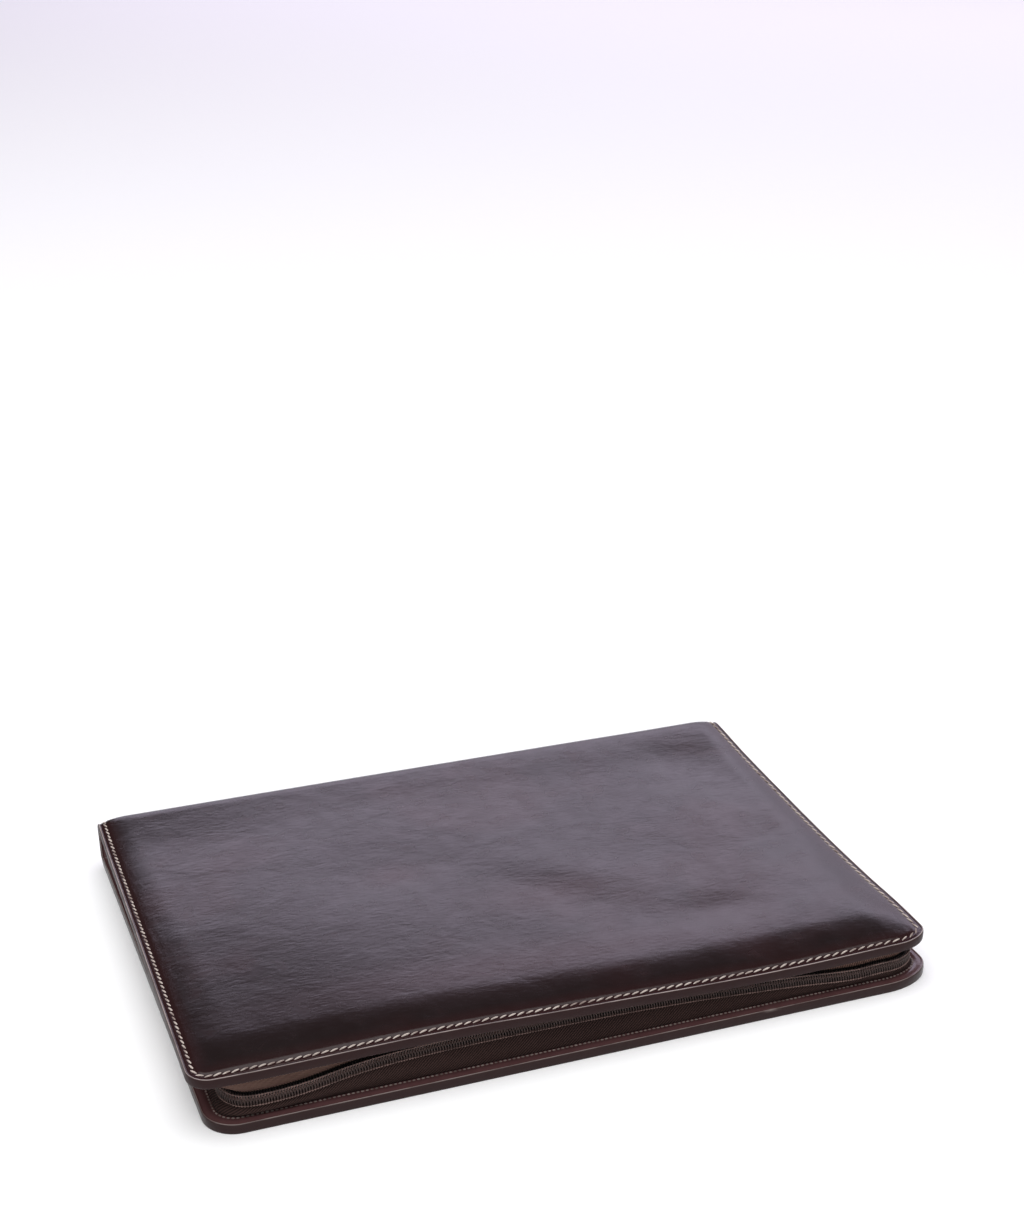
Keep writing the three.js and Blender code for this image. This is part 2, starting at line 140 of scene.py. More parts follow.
# Height of the rim along the opening edge: place across, and share of the front height
FRONT_RIM = np.array([
    (-1.00, 1.010), (-0.83, 0.987), (-0.49, 1.000), (-0.28, 0.980), (-0.07, 0.932),
    (0.15, 0.893), (0.37, 0.850), (0.60, 0.833), (0.83, 0.857), (1.00, 0.877),
])
# Sag of the rim along both ends: place from the opening edge back, and share of the greatest sag
LEFT_RIM = np.array([
    (-1.00, 0.0), (-0.75, 0.1), (-0.50, 0.2), (-0.10, 0.3),
    (0.35, 0.6), (0.65, 0.7), (0.85, 0.4), (1.00, 0.0),
])
RIGHT_RIM = np.array([
    (-1.00, 0.0), (-0.75, 0.1), (-0.50, 0.75), (-0.10, 1.2),
    (0.35, 1.05), (0.65, 0.75), (0.85, 0.2), (1.00, 0.0),
])


@dataclass(frozen=True)
class CaseForm:
    """Plan and heights of the case, which every piece is fitted to."""

    low: Vector
    high: Vector
    upper_width: float = 0.3506
    lower_width: float = 0.3492
    spine_slip: float = 0.0005
    front_height: float = 0.030
    spine_rim_height: float = 0.0279
    crown: float = 0.0037
    spine_crown: float = 0.0023
    roll: float = 0.027
    spine_roll: float = 0.014
    side_sag: float = 0.0024
    upper_wall: float = 0.0045
    lower_wall: float = 0.0047
    spine_wall: float = 0.003
    spine_round: float = 0.009
    foot_round: float = 0.006
    upper_corners: tuple[Corner, Corner] = (Corner(0.010, 0.010), Corner(0.017, 0.011))
    lower_corners: tuple[Corner, Corner] = (Corner(0.015, 0.015), Corner(0.027, 0.017))
    gusset_corners: tuple[Corner, Corner] = (Corner(0.018, 0.018), Corner(0.020, 0.017))

    @property
    def upper_centre(self) -> float:
        """Middle of the upper cover, in X."""
        return self.low.x + self.upper_width / 2

    @property
    def depth(self) -> float:
        """Opening edge to the back of the spine."""
        return self.high.y - self.low.y

    def lower_centre(self, y: Array) -> Array:
        """Middle of the lower cover, which lies slipped to the right at the opening edge.

        Args:
            y: the depths.

        Returns:
            Its X at each depth.
        """
        front = self.high.x - self.lower_width / 2
        share = (y - self.low.y) / self.depth
        return front + (self.upper_centre + self.spine_slip - front) * share

    def edge(self, half: Half, y: Array, side: Side) -> Array:
        """One end of a cover.

        Args:
            half: which cover.
            y: the depths.
            side: which end.

        Returns:
            The end's X at each depth.
        """
        if half is Half.UPPER:
            return np.full_like(y, self.upper_centre + side.value * self.upper_width / 2)
        return self.lower_centre(y) + side.value * self.lower_width / 2

    def common_edge(self, y: Array, side: Side) -> Array:
        """The end of whichever cover reaches less far.

        Args:
            y: the depths.
            side: which end.

        Returns:
            The end's X at each depth.
        """
        upper = self.edge(Half.UPPER, y, side)
        lower = self.edge(Half.LOWER, y, side)
        return side.value * np.minimum(side.value * upper, side.value * lower)

    def rim_height(self, x: Array, y: Array) -> Array:
        """Height of the upper cover's rim, carried on over the whole cover.

        Args:
            x: the places along the spine.
            y: the places from front to back.

        Returns:
            The heights there.
        """
        across = (x - self.upper_centre) / (self.upper_width / 2)
        back = (y - self.low.y) / self.depth
        front = self.front_height * smooth_table(FRONT_RIM, across)
        left = smooth_table(LEFT_RIM, 2 * back - 1) * np.clip((1 - across) / 2, 0, 1) ** 2
        right = smooth_table(RIGHT_RIM, 2 * back - 1) * np.clip((1 + across) / 2, 0, 1) ** 2
        return front + (self.spine_rim_height - front) * back - self.side_sag * (left + right)

    def padding(self, x: Array, y: Array) -> Array:
        """How far the padding has risen.

        Args:
            x: the places along the spine.
            y: the places from front to back.

        Returns:
            Shares, 0 on the rim and 1 in the middle of the cover.
        """
        back = (y - self.low.y) / self.depth
        from_side = self.upper_width / 2 - np.abs(x - self.upper_centre)
        side_roll = self.roll + (self.spine_roll - self.roll) * back
        rise = np.sin(np.clip(from_side / side_roll, 0, 1) * math.pi / 2)
        return rise * np.sin(np.clip((y - self.low.y) / self.roll, 0, 1) * math.pi / 2)

    def swells(self, x: Array, y: Array) -> Array:
        """Soft dents and swells of the padding.

        Args:
            x: the places along the spine.
            y: the places from front to back.

        Returns:
            Their heights in metres, added up.
        """
        height = np.zeros_like(x)
        reach = self.depth / 2
        for swell in SWELLS:
            dx = x - self.upper_centre - swell.across * self.upper_width / 2
            dy = y - swell.back * reach
            turn = math.radians(swell.turn)
            along = (dx * math.cos(turn) + dy * math.sin(turn)) / (swell.long * reach)
            across = (dy * math.cos(turn) - dx * math.sin(turn)) / (swell.wide * reach)
            height += swell.rise * np.exp(-(along**2) - across**2)
        return height

    def outer_height(self, x: Array, y: Array) -> Array:
        """Upper face of the upper cover.

        Args:
            x: the places along the spine.
            y: the places from front to back.

        Returns:
            Its heights there.
        """
        back = (y - self.low.y) / self.depth
        crown = self.crown + (self.spine_crown - self.crown) * back
        return self.rim_height(x, y) + (crown + self.swells(x, y)) * self.padding(x, y)

    def inner_height(self, x: Array, y: Array) -> Array:
        """Underside of the upper cover.

        Args:
            x: the places along the spine.
            y: the places from front to back.

        Returns:
            Its heights there.
        """
        flat = self.roll / 2
        from_side = self.upper_width / 2 - np.abs(x - self.upper_centre)
        rise = ease((from_side - flat) / self.roll) * ease((y - self.low.y - flat) / self.roll)
        return self.rim_height(x, y) - self.upper_wall + self.spine_crown / 2 * rise


class Wire:
    """One output in a finish's node tree, with arithmetic that adds its own nodes."""

    def __init__(self, finish: "FinishTree", socket: bpy.types.NodeSocket) -> None:
        """Hold on to the socket and to the tree that it is in."""
        self.finish = finish
        self.socket = socket

    def _math(self, operation: str, *values: "Wire | float") -> "Wire":
        """Add one Math node on these values."""
        return self.finish.node("ShaderNodeMath", {"operation": operation}, dict(enumerate(values)))

    def __add__(self, other: "Wire | float") -> "Wire":
        """Sum."""
        return self._math("ADD", self, other)

    __radd__ = __add__

    def __sub__(self, other: "Wire | float") -> "Wire":
        """Difference."""
        return self._math("SUBTRACT", self, other)

    def __rsub__(self, other: "Wire | float") -> "Wire":
        """Difference, from a number."""
        return self._math("SUBTRACT", other, self)

    def __mul__(self, other: "Wire | float") -> "Wire":
        """Product."""
        return self._math("MULTIPLY", self, other)

    __rmul__ = __mul__

    def sine(self) -> "Wire":
        """Sine of an angle in radians."""
        return self._math("SINE", self)

    def larger(self, other: "Wire | float") -> "Wire":
        """The larger of two values."""
        return self._math("MAXIMUM", self, other)

    def between(self, low: float, high: float) -> "Wire":
        """Soft mask.

        Args:
            low: the value at which the mask is 0.
            high: the value at which it is 1, which may be the smaller number.

        Returns:
            The mask, from 0 to 1.
        """
        settings = {"interpolation_type": "SMOOTHSTEP", "clamp": True}
        sockets = {"Value": self, "From Min": min(low, high), "From Max": max(low, high)}
        if low > high:
            sockets |= {"To Min": 1.0, "To Max": 0.0}
        return self.finish.node("ShaderNodeMapRange", settings, sockets)


class FinishTree:
    """The node tree of one finish."""

    def __init__(self, name: str) -> None:
        """Start an empty material.

        Args:
            name: the material's name.
        """
        self.material = bpy.data.materials.new(name)
        self.material.use_nodes = True
        self.tree = self.material.node_tree
        self.tree.nodes.clear()

    def node(
        self,
        kind: str,
        settings: dict[str, object] | None = None,
        sockets: dict[str | int, object] | None = None,
        output: str | int = 0,
    ) -> Wire:
        """Add a node.

        Args:
            kind: the node's type.
            settings: its properties, set first.
            sockets: values or wires, by the input's name or number.
            output: the output that is wanted.

        Returns:
            A wire from that output.
        """
        made = self.tree.nodes.new(kind)
        for name, value in (settings or {}).items():
            setattr(made, name, value)
        for name, value in (sockets or {}).items():
            if isinstance(value, Wire):
                self.tree.links.new(value.socket, made.inputs[name])
            else:
                made.inputs[name].default_value = value
        return Wire(self, made.outputs[output])

    def place(self) -> Wire:
        """Place on the object, in metres."""
        return self.node("ShaderNodeTexCoord", output="Object")

    def attribute(self, name: str) -> Wire:
        """A number stored on the mesh."""
        return self.node("ShaderNodeAttribute", {"attribute_name": name}, output="Fac")

    def noise(self, place: Wire, scale: float, detail: float = 2.0, distortion: float = 0.0) -> Wire:
        """Cloudy noise from 0 to 1, with scale clouds to the metre."""
        sockets = {"Vector": place, "Scale": scale, "Detail": detail, "Distortion": distortion}
        return self.node("ShaderNodeTexNoise", sockets=sockets)

    def stretched(self, place: Wire, turn: float, scale: Triple) -> Wire:
        """The place turned about Z, in degrees, and scaled."""
        sockets = {"Vector": place, "Rotation": (0, 0, math.radians(turn)), "Scale": scale}
        return self.node("ShaderNodeMapping", sockets=sockets)

    def blend(self, factor: Wire, first: "Wire | Colour", second: "Wire | Colour") -> Wire:
        """Mix two colours.

        Args:
            factor: 0 for the first and 1 for the second.
            first: a colour or a wire.
            second: a colour or a wire.

        Returns:
            The mixed colour.
        """
        first, second = (value if isinstance(value, Wire) else (*value, 1) for value in (first, second))
        colour_a, colour_b, colour_result = 6, 7, 2
        sockets = {0: factor, colour_a: first, colour_b: second}
        return self.node("ShaderNodeMix", {"data_type": "RGBA"}, sockets, colour_result)

    def relief(self, height: Wire, depth: float, under: Wire | None = None) -> Wire:
        """A normal from a height field.

        Args:
            height: the field, from 0 to 1.
            depth: its full range in metres.
            under: the normal that it lies on.

        Returns:
            The new normal.
        """
        sockets: dict[str | int, object] = {"Height": height, "Distance": depth, "Strength": 1.0}
        if under:
            sockets["Normal"] = under
        return self.node("ShaderNodeBump", sockets=sockets)

    def surface(self, **sockets: object) -> bpy.types.Material:
        """Close the tree with a principled surface.

        Args:
            sockets: values or wires, by the input's name with underscores for spaces.

        Returns:
            The finished material.
        """
        named = {name.replace("_", " "): value for name, value in sockets.items()}
        shader = self.node("ShaderNodeBsdfPrincipled", sockets=named)
        output = self.tree.nodes.new("ShaderNodeOutputMaterial")
        self.tree.links.new(shader.socket, output.inputs["Surface"])
        return self.material


@dataclass(frozen=True)
class GlazedLeather:
    """Smooth glazed cowhide, dyed dark brown over burgundy.

    The sizes of its patterns, from cloud to pucker, are clouds to the metre. A border is a pair of
    distances from the edge, in metres: where its effect starts and where it is full.
    """

    dark: Colour = (0.0100, 0.0052, 0.0050)
    burgundy: Colour = (0.0240, 0.0062, 0.0062)
    # Pale edge colour: partly real wear, partly a painted highlight along the ridges
    wear_and_highlight: Colour = (0.50, 0.42, 0.39)
    # Lighter burgundy of the lower cover's lip: partly its colour, partly a painted sheen for its glossy
    # highlights
    lip: Colour = (0.096, 0.044, 0.045)
    roughness: float = 0.22
    wall_roughness: float = 0.25
    coat: float = 0.40
    wall_coat: float = 0.06
    cloud: float = 14.0
    mottle: float = 95.0
    scuff: float = 60.0
    grain: float = 420.0
    crease: float = 150.0
    ripple: float = 36.0
    pucker: float = 260.0
    red_border: tuple[float, float] = (0.013, 0.002)
    pinched_border: tuple[float, float] = (0.017, 0.006)

    def make(self) -> bpy.types.Material:
        """Build the material.

        Returns:
            The leather, which reads the marks that the cover stores on its mesh.
        """
        tree = FinishTree("glazed_leather")
        place = tree.place()
        edge = tree.attribute("edge_distance")
        ridge = tree.attribute("ridge")
        clouds = tree.noise(place, self.cloud, 3)
        mottle = tree.noise(place, self.mottle, 2)
        rim = edge.between(*self.red_border)
        red = (clouds.between(0.50, 0.68) * 0.45 + mottle.between(0.55, 0.75) * 0.20).larger(rim * 0.75)
        red = red.larger(tree.attribute("blush") * (mottle * 0.4 + 0.5))
        colour = tree.blend(red, self.dark, self.burgundy)
        scuffs = tree.noise(tree.stretched(place, 0, (1, 1, 3)), self.scuff, 3).between(0.35, 0.60)
        # The lip gets the lighter burgundy, partly a painted sheen standing in for its glossy highlights
        lip = tree.attribute("lip")
        colour = tree.blend(lip * (mottle * 0.5 + 0.6), colour, self.lip)
        # Pale line along the ridges: partly real wear, partly a painted highlight
        colour = tree.blend(ridge * (scuffs * 0.5 + 0.45), colour, self.wear_and_highlight)
        grain = tree.noise(tree.stretched(place, 20, (0.8, 1.5, 1)), self.grain, 1)
        creases = tree.noise(tree.stretched(place, 28, (0.55, 1.6, 1)), self.crease, 2, 0.8)
        ripples = tree.noise(place, self.ripple, 3, 0.4)
        puckers = tree.noise(tree.stretched(place, 0, (1, 0.3, 1)), self.pucker, 1)
        pinched = edge.between(*self.pinched_border) * clouds.between(0.40, 0.55)
        normal = tree.relief(ripples, 0.00045)
        normal = tree.relief(puckers * pinched, 0.00022, normal)
        normal = tree.relief(creases, 0.00009, normal)
        normal = tree.relief(grain, 0.00007, normal)
        wall = tree.attribute("wall")
        dull = mottle.between(0.3, 0.7) * 0.06 + self.roughness - lip * 0.05
        return tree.surface(
            Base_Color=colour,
            Roughness=dull + wall * self.wall_roughness,
            IOR=1.25,
            Coat_Weight=self.coat - wall * (self.coat - self.wall_coat),
            Coat_Roughness=0.21,
            Coat_IOR=1.33,
            Normal=normal,
        )


@dataclass(frozen=True)
class WaxedThread:
    """Thick cream thread, greyed by handling."""

    name: str = "waxed_thread"
    pale: Colour = (0.56, 0.48, 0.43)
    soiled: Colour = (0.24, 0.18, 0.16)

    def make(self) -> bpy.types.Material:
        """Build the material.

        Returns:
            The thread.
        """
        tree = FinishTree(self.name)
        place = tree.place()
        dirt = tree.noise(place, 160, 3).between(0.42, 0.70)
        fibres = tree.noise(place, 3200, 2)
        colour = tree.blend(dirt, self.pale, self.soiled)
        normal = tree.relief(fibres, 0.00012)
        return tree.surface(Base_Color=colour, Roughness=0.75, Normal=normal)


@dataclass(frozen=True)
class GussetTwill:
    """Matte brown twill, on the cloth's own UV map in metres."""

    name: str
    dark: Colour = (0.0060, 0.0026, 0.0022)
    light: Colour = (0.056, 0.029, 0.025)
    # Painted shade for the cloth behind the zip chain
    shaded: Colour = (0.0022, 0.0015, 0.0015)
    pitch: float = 0.0016
    slant: float = 1.0

    def make(self) -> bpy.types.Material:
        """Build the material.

        Returns:
            The cloth, with painted shade where the mesh is marked as behind the zip.
        """
        tree = FinishTree(self.name)
        uv = tree.node("ShaderNodeTexCoord", output="UV")
        along = tree.node("ShaderNodeSeparateXYZ", sockets={"Vector": uv})
        across = Wire(tree, along.socket.node.outputs["Y"])
        wander = tree.noise(uv, 240, 2)
        phase = (along - across * self.slant) * (2 * math.pi / self.pitch) + wander * 1.6
        ribs = phase.sine() * 0.5 + 0.5
        crossing = (along + across * self.slant) * (2 * math.pi / (self.pitch * 0.6))
        threads = crossing.sine() * 0.5 + 0.5
        shade = tree.noise(uv, 30, 3)
        height = ribs * 0.75 + threads * 0.25
        light = height.between(0.25, 0.80) * 0.85 + shade * 0.25
        colour = tree.blend(light, self.dark, self.light)
        # Painted shade over the rows of cloth behind the zip chain
        colour = tree.blend(tree.attribute("painted_shade_behind_zip"), colour, self.shaded)
        normal = tree.relief(height, 0.00022)
        return tree.surface(Base_Color=colour, Roughness=0.88, Specular_IOR_Level=0.2, Normal=normal)


@dataclass(frozen=True)
class CoilNylon:
    """Satin nylon wire, dyed dark brown."""

    name: str = "coil_nylon"
    dark: Colour = (0.0040, 0.0024, 0.0022)
    # Colour of the painted highlight on the heads; dark is the nylon's own brown
    light: Colour = (0.42, 0.265, 0.235)

    def make(self) -> bpy.types.Material:
        """Build the material.

        Returns:
            The nylon, lightened by a painted highlight where the mesh marks the heads.
        """
        tree = FinishTree(self.name)
        place = tree.place()
        patches = tree.noise(place, 220, 2)
        # Painted highlight on the heads, mottled by the patches
        head_highlight = tree.attribute("painted_head_highlight")
        colour = tree.blend(head_highlight * (patches * 0.5 + 0.6), self.dark, self.light)
        normal = tree.relief(tree.noise(place, 2400, 1), 0.00003)
        roughness = 0.36 + patches * 0.1
        return tree.surface(Base_Color=colour, Roughness=roughness, Specular_IOR_Level=0.3, Normal=normal)


@dataclass(frozen=True)
class TabLeather:
    """Dull grey-brown lining leather."""

    dark: Colour = (0.012, 0.010, 0.0075)
    light: Colour = (0.040, 0.034, 0.026)

    def make(self) -> bpy.types.Material:
        """Build the material.

        Returns:
            The leather.
        """
        tree = FinishTree("tab_leather")
        place = tree.place()
        clouds = tree.noise(place, 260, 4)
        pores = tree.noise(place, 1100, 3)
        colour = tree.blend(clouds.between(0.3, 0.7), self.dark, self.light)
        normal = tree.relief(pores, 0.00020)
        return tree.surface(Base_Color=colour, Roughness=0.6 + pores * 0.15, Normal=normal)


@dataclass(frozen=True)
class BronzedMetal:
    """Dark bronzed zip metal, rubbed bright here and there."""

    dark: Colour = (0.10, 0.075, 0.055)
    rubbed: Colour = (0.36, 0.29, 0.22)

    def make(self) -> bpy.types.Material:
        """Build the material.

        Returns:
            The metal.
        """
        tree = FinishTree("bronzed_metal")
        place = tree.place()
        wear = tree.noise(place, 420, 4).between(0.45, 0.75)
        colour = tree.blend(wear, self.dark, self.rubbed)
        normal = tree.relief(tree.noise(place, 1800, 2), 0.00003)
        return tree.surface(Base_Color=colour, Metallic=1.0, Roughness=0.30 + wear * 0.18, Normal=normal)


@dataclass(frozen=True)
class StudioFloor:
    """White studio paper."""

    white: Colour = (0.93, 0.93, 0.935)
    glow: float = 0.07

    def make(self) -> bpy.types.Material:
        """Build the material.

        Returns:
            The paper, which glows a little so that it stays white.
        """
        tree = FinishTree("studio_floor")
        fibres = tree.noise(tree.place(), 60, 3)
        colour = tree.blend(fibres, self.white, tuple(value * 0.985 for value in self.white))
        return tree.surface(
            Base_Color=colour, Roughness=0.9, Emission_Color=(1, 1, 1, 1), Emission_Strength=self.glow
        )


def mesh_object(name: str, points: Array, faces: Array) -> bpy.types.Object:
    """A new object, smooth shaded and at the origin.

    Args:
        name: its name.
        points: its points, in any grid whose last axis is X, Y and Z.
        faces: its faces, as rows of point numbers.

    Returns:
        The object.
    """
    mesh = bpy.data.meshes.new(name)
    mesh.from_pydata(points.reshape(-1, 3).tolist(), [], faces.tolist())
    mesh.validate()
    mesh.shade_smooth()
    made = bpy.data.objects.new(name, mesh)
    bpy.context.collection.objects.link(made)
    return made


def store(piece: bpy.types.Object, name: str, values: Array) -> None:
    """Keep one number a point on a mesh, for its finish."""
    stored = piece.data.attributes.new(name, "FLOAT", "POINT")
    stored.data.foreach_set("value", np.asarray(values, dtype=np.float32).ravel())


def grid_faces(index: Array) -> Array:
    """Quads of a grid of vertex numbers, as rows of four."""
    corners = [index[:-1, :-1], index[1:, :-1], index[1:, 1:], index[:-1, 1:]]
    return np.stack([corner.ravel() for corner in corners], axis=1)


def start_clean() -> None:
    """Leave edit mode and deselect everything."""
    if bpy.context.object and bpy.context.object.mode != "OBJECT":
        bpy.ops.object.mode_set(mode="OBJECT")
    bpy.ops.object.select_all(action="DESELECT")


def only(piece: bpy.types.Object) -> None:
    """Select one object and make it active.

    Args:
        piece: the object.
    """
    start_clean()
    piece.select_set(True)
    bpy.context.view_layer.objects.active = piece


def face_outwards(piece: bpy.types.Object) -> None:
    """Turn the faces of a closed mesh outwards.

    Args:
        piece: the object that has the mesh.
    """
    only(piece)
    bpy.ops.object.mode_set(mode="EDIT")
    bpy.ops.mesh.select_all(action="SELECT")
    bpy.ops.mesh.normals_make_consistent(inside=False)
    bpy.ops.object.mode_set(mode="OBJECT")


def subdivide(piece: bpy.types.Object, cuts: int) -> None:
    """Subdivide a whole mesh.

    Args:
        piece: the object that has the mesh.
        cuts: how many cuts each edge gets.
    """
    only(piece)
    bpy.ops.object.mode_set(mode="EDIT")
    bpy.ops.mesh.select_all(action="SELECT")
    bpy.ops.mesh.subdivide(number_cuts=cuts)
    bpy.ops.object.mode_set(mode="OBJECT")


def apply_modifier(piece: bpy.types.Object, kind: str, **settings: object) -> None:
    """Add a modifier and apply it.

    Args:
        piece: the object to change.
        kind: the modifier's type.
        settings: its properties.
    """
    only(piece)
    modifier = piece.modifiers.new(kind.lower(), kind)
    for name, value in settings.items():
        setattr(modifier, name, value)
    bpy.ops.object.modifier_apply(modifier=modifier.name)


def hand_over(piece: bpy.types.Object, material: bpy.types.Material, slot: str, *nodes: str) -> None:
    """Dress a piece, let it ride on the case, and report it.

    Args:
        piece: the finished object.
        material: its finish.
        slot: not used.
        nodes: the solids that it stands for.
    """
    piece.data.materials.clear()
    piece.data.materials.append(material)
    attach(piece, "root")
    if nodes:
        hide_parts(*nodes)
    piece.data.calc_loop_triangles()
    log.info("%s: %d triangles", piece.name, len(piece.data.loop_triangles))


@dataclass
class LeatherCover:
    """Upper cover, spine and lower cover: one padded leather, folded round the spine.

    The rims are rows of (inset from the outline, rise off the face), and wall is rows of (share of the
    way down the edge, bulge). The ridge is a pale line along the edges, partly real wear and partly a
    painted highlight, and the nick is a rubbed spot on the lower cover's front edge. A blush is a patch
    where the red shows: X, Y and its reach in each.
    """

    form: CaseForm
    corner_steps: int = 12
    front_steps: int = 165
    upper_rows: int = 92
    turn_steps: int = 9
    lower_rows: int = 36
    crowding: float = 1.3
    fill: float = 0.35
    border: float = 0.006
    outer_rim: tuple[tuple[float, float], ...] = (
        (0.0055, 0.0), (0.0050, -0.00003), (0.0045, -0.00016), (0.0041, -0.00029), (0.0037, -0.00038),
        (0.0033, -0.00043), (0.0029, -0.00042), (0.0025, -0.00037), (0.0021, -0.00035), (0.0017, -0.00038),
        (0.0013, -0.00044), (0.0010, -0.00042), (0.00075, -0.00018), (0.00052, 0.00004), (0.00034, 0.00005),
        (0.00014, -0.00007), (0.00002, -0.00032),
    )
    inner_rim: tuple[tuple[float, float], ...] = (
        (0.00002, -0.00040), (0.00010, -0.00018), (0.00024, 0.0), (0.00045, 0.00010), (0.0007, 0.00006),
        (0.0010, -0.00012), (0.0014, -0.00018), (0.0020, 0.00004), (0.0028, 0.00018), (0.0036, 0.00014),
        (0.0043, -0.00006), (0.0049, -0.00022), (0.0055, -0.00018),
    )
    wall: tuple[tuple[float, float], ...] = ((0.2, 0.00006), (0.4, 0.00012), (0.6, 0.00012), (0.8, 0.00006))
    ridge_inset: float = 0.0004
    ridge_width: float = 0.00016
    inner_wear_and_highlight: float = 0.7
    lower_wall_dullness: float = 0.35
    nick_place: float = 0.0895
    nick_inset: float = 0.00045
    nick_reach: Triple = (0.0028, 0.0006, 0.0006)
    blushes: tuple[tuple[float, float, float, float], ...] = (
        (-0.050, 0.010, 0.016, 0.010), (0.020, -0.030, 0.038, 0.016), (-0.010, -0.085, 0.110, 0.016),
    )

    def front_line(self, half: Half, inset: float) -> tuple[Array, Array]:
        """Opening edge of a cover, left to right.

        Args:
            half: which cover.
            inset: how far in from the outline.

        Returns:
            X from the cover's middle, and Y.
        """
        form = self.form
        upper = half is Half.UPPER
        half_width = (form.upper_width if upper else form.lower_width) / 2
        corners = form.upper_corners if upper else form.lower_corners
        angle = np.linspace(0, math.pi / 2, self.corner_steps + 1)
        ends = []
        for side, corner in zip(Side, corners):
            nx, ny = side.value * corner.deep * np.cos(angle), -corner.wide * np.sin(angle)
            size = np.hypot(nx, ny)
            x = side.value * (half_width - corner.wide * (1 - np.cos(angle))) - inset * nx / size
            y = form.low.y + corner.deep * (1 - np.sin(angle)) - inset * ny / size
            ends.append((x, y))
        (left_x, left_y), (right_x, right_y) = ends
        x = np.linspace(left_x[-1], right_x[-1], self.front_steps + 1)[1:-1]
        y = np.full_like(x, form.low.y + inset)
        return np.concatenate([left_x, x, right_x[::-1]]), np.concatenate([left_y, y, right_y[::-1]])

    def surface(self, inset: float) -> tuple[Array, Array, Array]:
        """The cover's two faces, held in from its outline.

        Args:
            inset: how far in.

        Returns:
            Outer points, inner points and outer normals, each as columns by rows by 3.
        """
        form = self.form
        upper_x, upper_y = self.front_line(Half.UPPER, inset)
        lower_x, lower_y = self.front_line(Half.LOWER, inset)
        spine_line, foot_line = form.high.y - form.spine_round, form.high.y - form.foot_round
        share = np.linspace(0, 1, self.upper_rows) ** self.crowding
        y = upper_y[:, None] + (spine_line - upper_y[:, None]) * share
        x = np.repeat((upper_x + form.upper_centre)[:, None], len(share), axis=1)
        columns = len(x)
        up = np.zeros((columns, len(share), 3))
        up[..., 2] = 1
        outer = [np.stack([x, y, form.outer_height(x, y)], axis=2)]
        inner = [np.stack([x, y, form.inner_height(x, y)], axis=2)]
        normals = [up]

        top, under = outer[0][:, -1, 2], inner[0][:, -1, 2]
        turn = self._turn(top, top, form.high.y, 0.0)
        inside = self._turn(under, top, form.high.y - form.spine_wall, form.lower_wall)
        count = turn.shape[1]
        travel = ease(np.arange(1, count + 1) / count)
        start = x[:, -1:]
        for target, rows in ((outer, turn), (inner, inside)):
            goal = lower_x[:, None] + form.lower_centre(turn[..., 0])
            bent = np.zeros((columns, count, 3))
            bent[..., 0] = start + (goal - start) * travel
            bent[..., 1:] = rows
            target.append(bent)
        around = np.zeros((columns, count, 3))
        angle = np.linspace(0, math.pi, count + 1)[1:]
        around[..., 1], around[..., 2] = np.sin(angle), np.cos(angle)
        normals.append(around)

        share = (np.linspace(0, 1, self.lower_rows) ** self.crowding)[::-1][1:]
        y = lower_y[:, None] + (foot_line - lower_y[:, None]) * share
        x = lower_x[:, None] + form.lower_centre(y)
        outer.append(np.stack([x, y, np.zeros_like(x)], axis=2))
        inner.append(np.stack([x, y, np.full_like(x, form.lower_wall)], axis=2))
        down = np.zeros_like(outer[-1])
        down[..., 2] = -1
        normals.append(down)
        return tuple(np.concatenate(parts, axis=1) for parts in (outer, inner, normals))

    def _turn(self, level: Array, top: Array, back: float, foot: float) -> Array:
        """The spine's turn, from the upper cover to the lower one.

        Args:
            level: height of the face at which the turn starts, column by column.
            top: height of the upper cover's outer face there.
            back: Y of the turn's back.
            foot: height at which the turn ends.

        Returns:
            Y and Z, as columns by rows by 2.
        """
        form = self.form
        spine_line, foot_line = form.high.y - form.spine_round, form.high.y - form.foot_round
        angle = np.linspace(0, math.pi / 2, self.turn_steps + 1)
        rows = []
        shoulder = top - form.spine_round
        for a in angle[1:]:
            y = np.full_like(level, spine_line + (back - spine_line) * math.sin(a))
            rows.append(np.stack([y, shoulder + (level - shoulder) * math.cos(a)], axis=1))
        for share in (0.25, 0.5, 0.75):
            z = shoulder + (form.foot_round - shoulder) * share
            rows.append(np.stack([np.full_like(level, back), z], axis=1))
        for a in angle[::-1]:
            y = np.full_like(level, foot_line + (back - foot_line) * math.sin(a))
            z = np.full_like(level, form.foot_round + (foot - form.foot_round) * math.cos(a))
            rows.append(np.stack([y, z], axis=1))
        return np.stack(rows, axis=1)

    @staticmethod
    def border_of(grid: Array) -> Array:
        """The border of a grid, as one loop that starts at the opening edge's left end."""
        return np.concatenate([grid[:, 0], grid[-1, 1:], grid[-2::-1, -1], grid[0, -2:0:-1]])

    def ring(self, inset: float, rise: float, is_outer: bool) -> Array:
        """One loop of the rim.

        Args:
            inset: how far in from the outline.
            rise: how far off its face, though nothing rises off the underside, which lies on a surface.
            is_outer: whether it is on the outer face.

        Returns:
            The points of the loop.
        """
        outer, inner, normals = (self.border_of(grid) for grid in self.surface(inset))
        if not is_outer:
            return inner - normals * rise
        faces_down = normals[:, 2:] < -0.2
        return outer + normals * np.where(faces_down, min(rise, 0.0), rise)

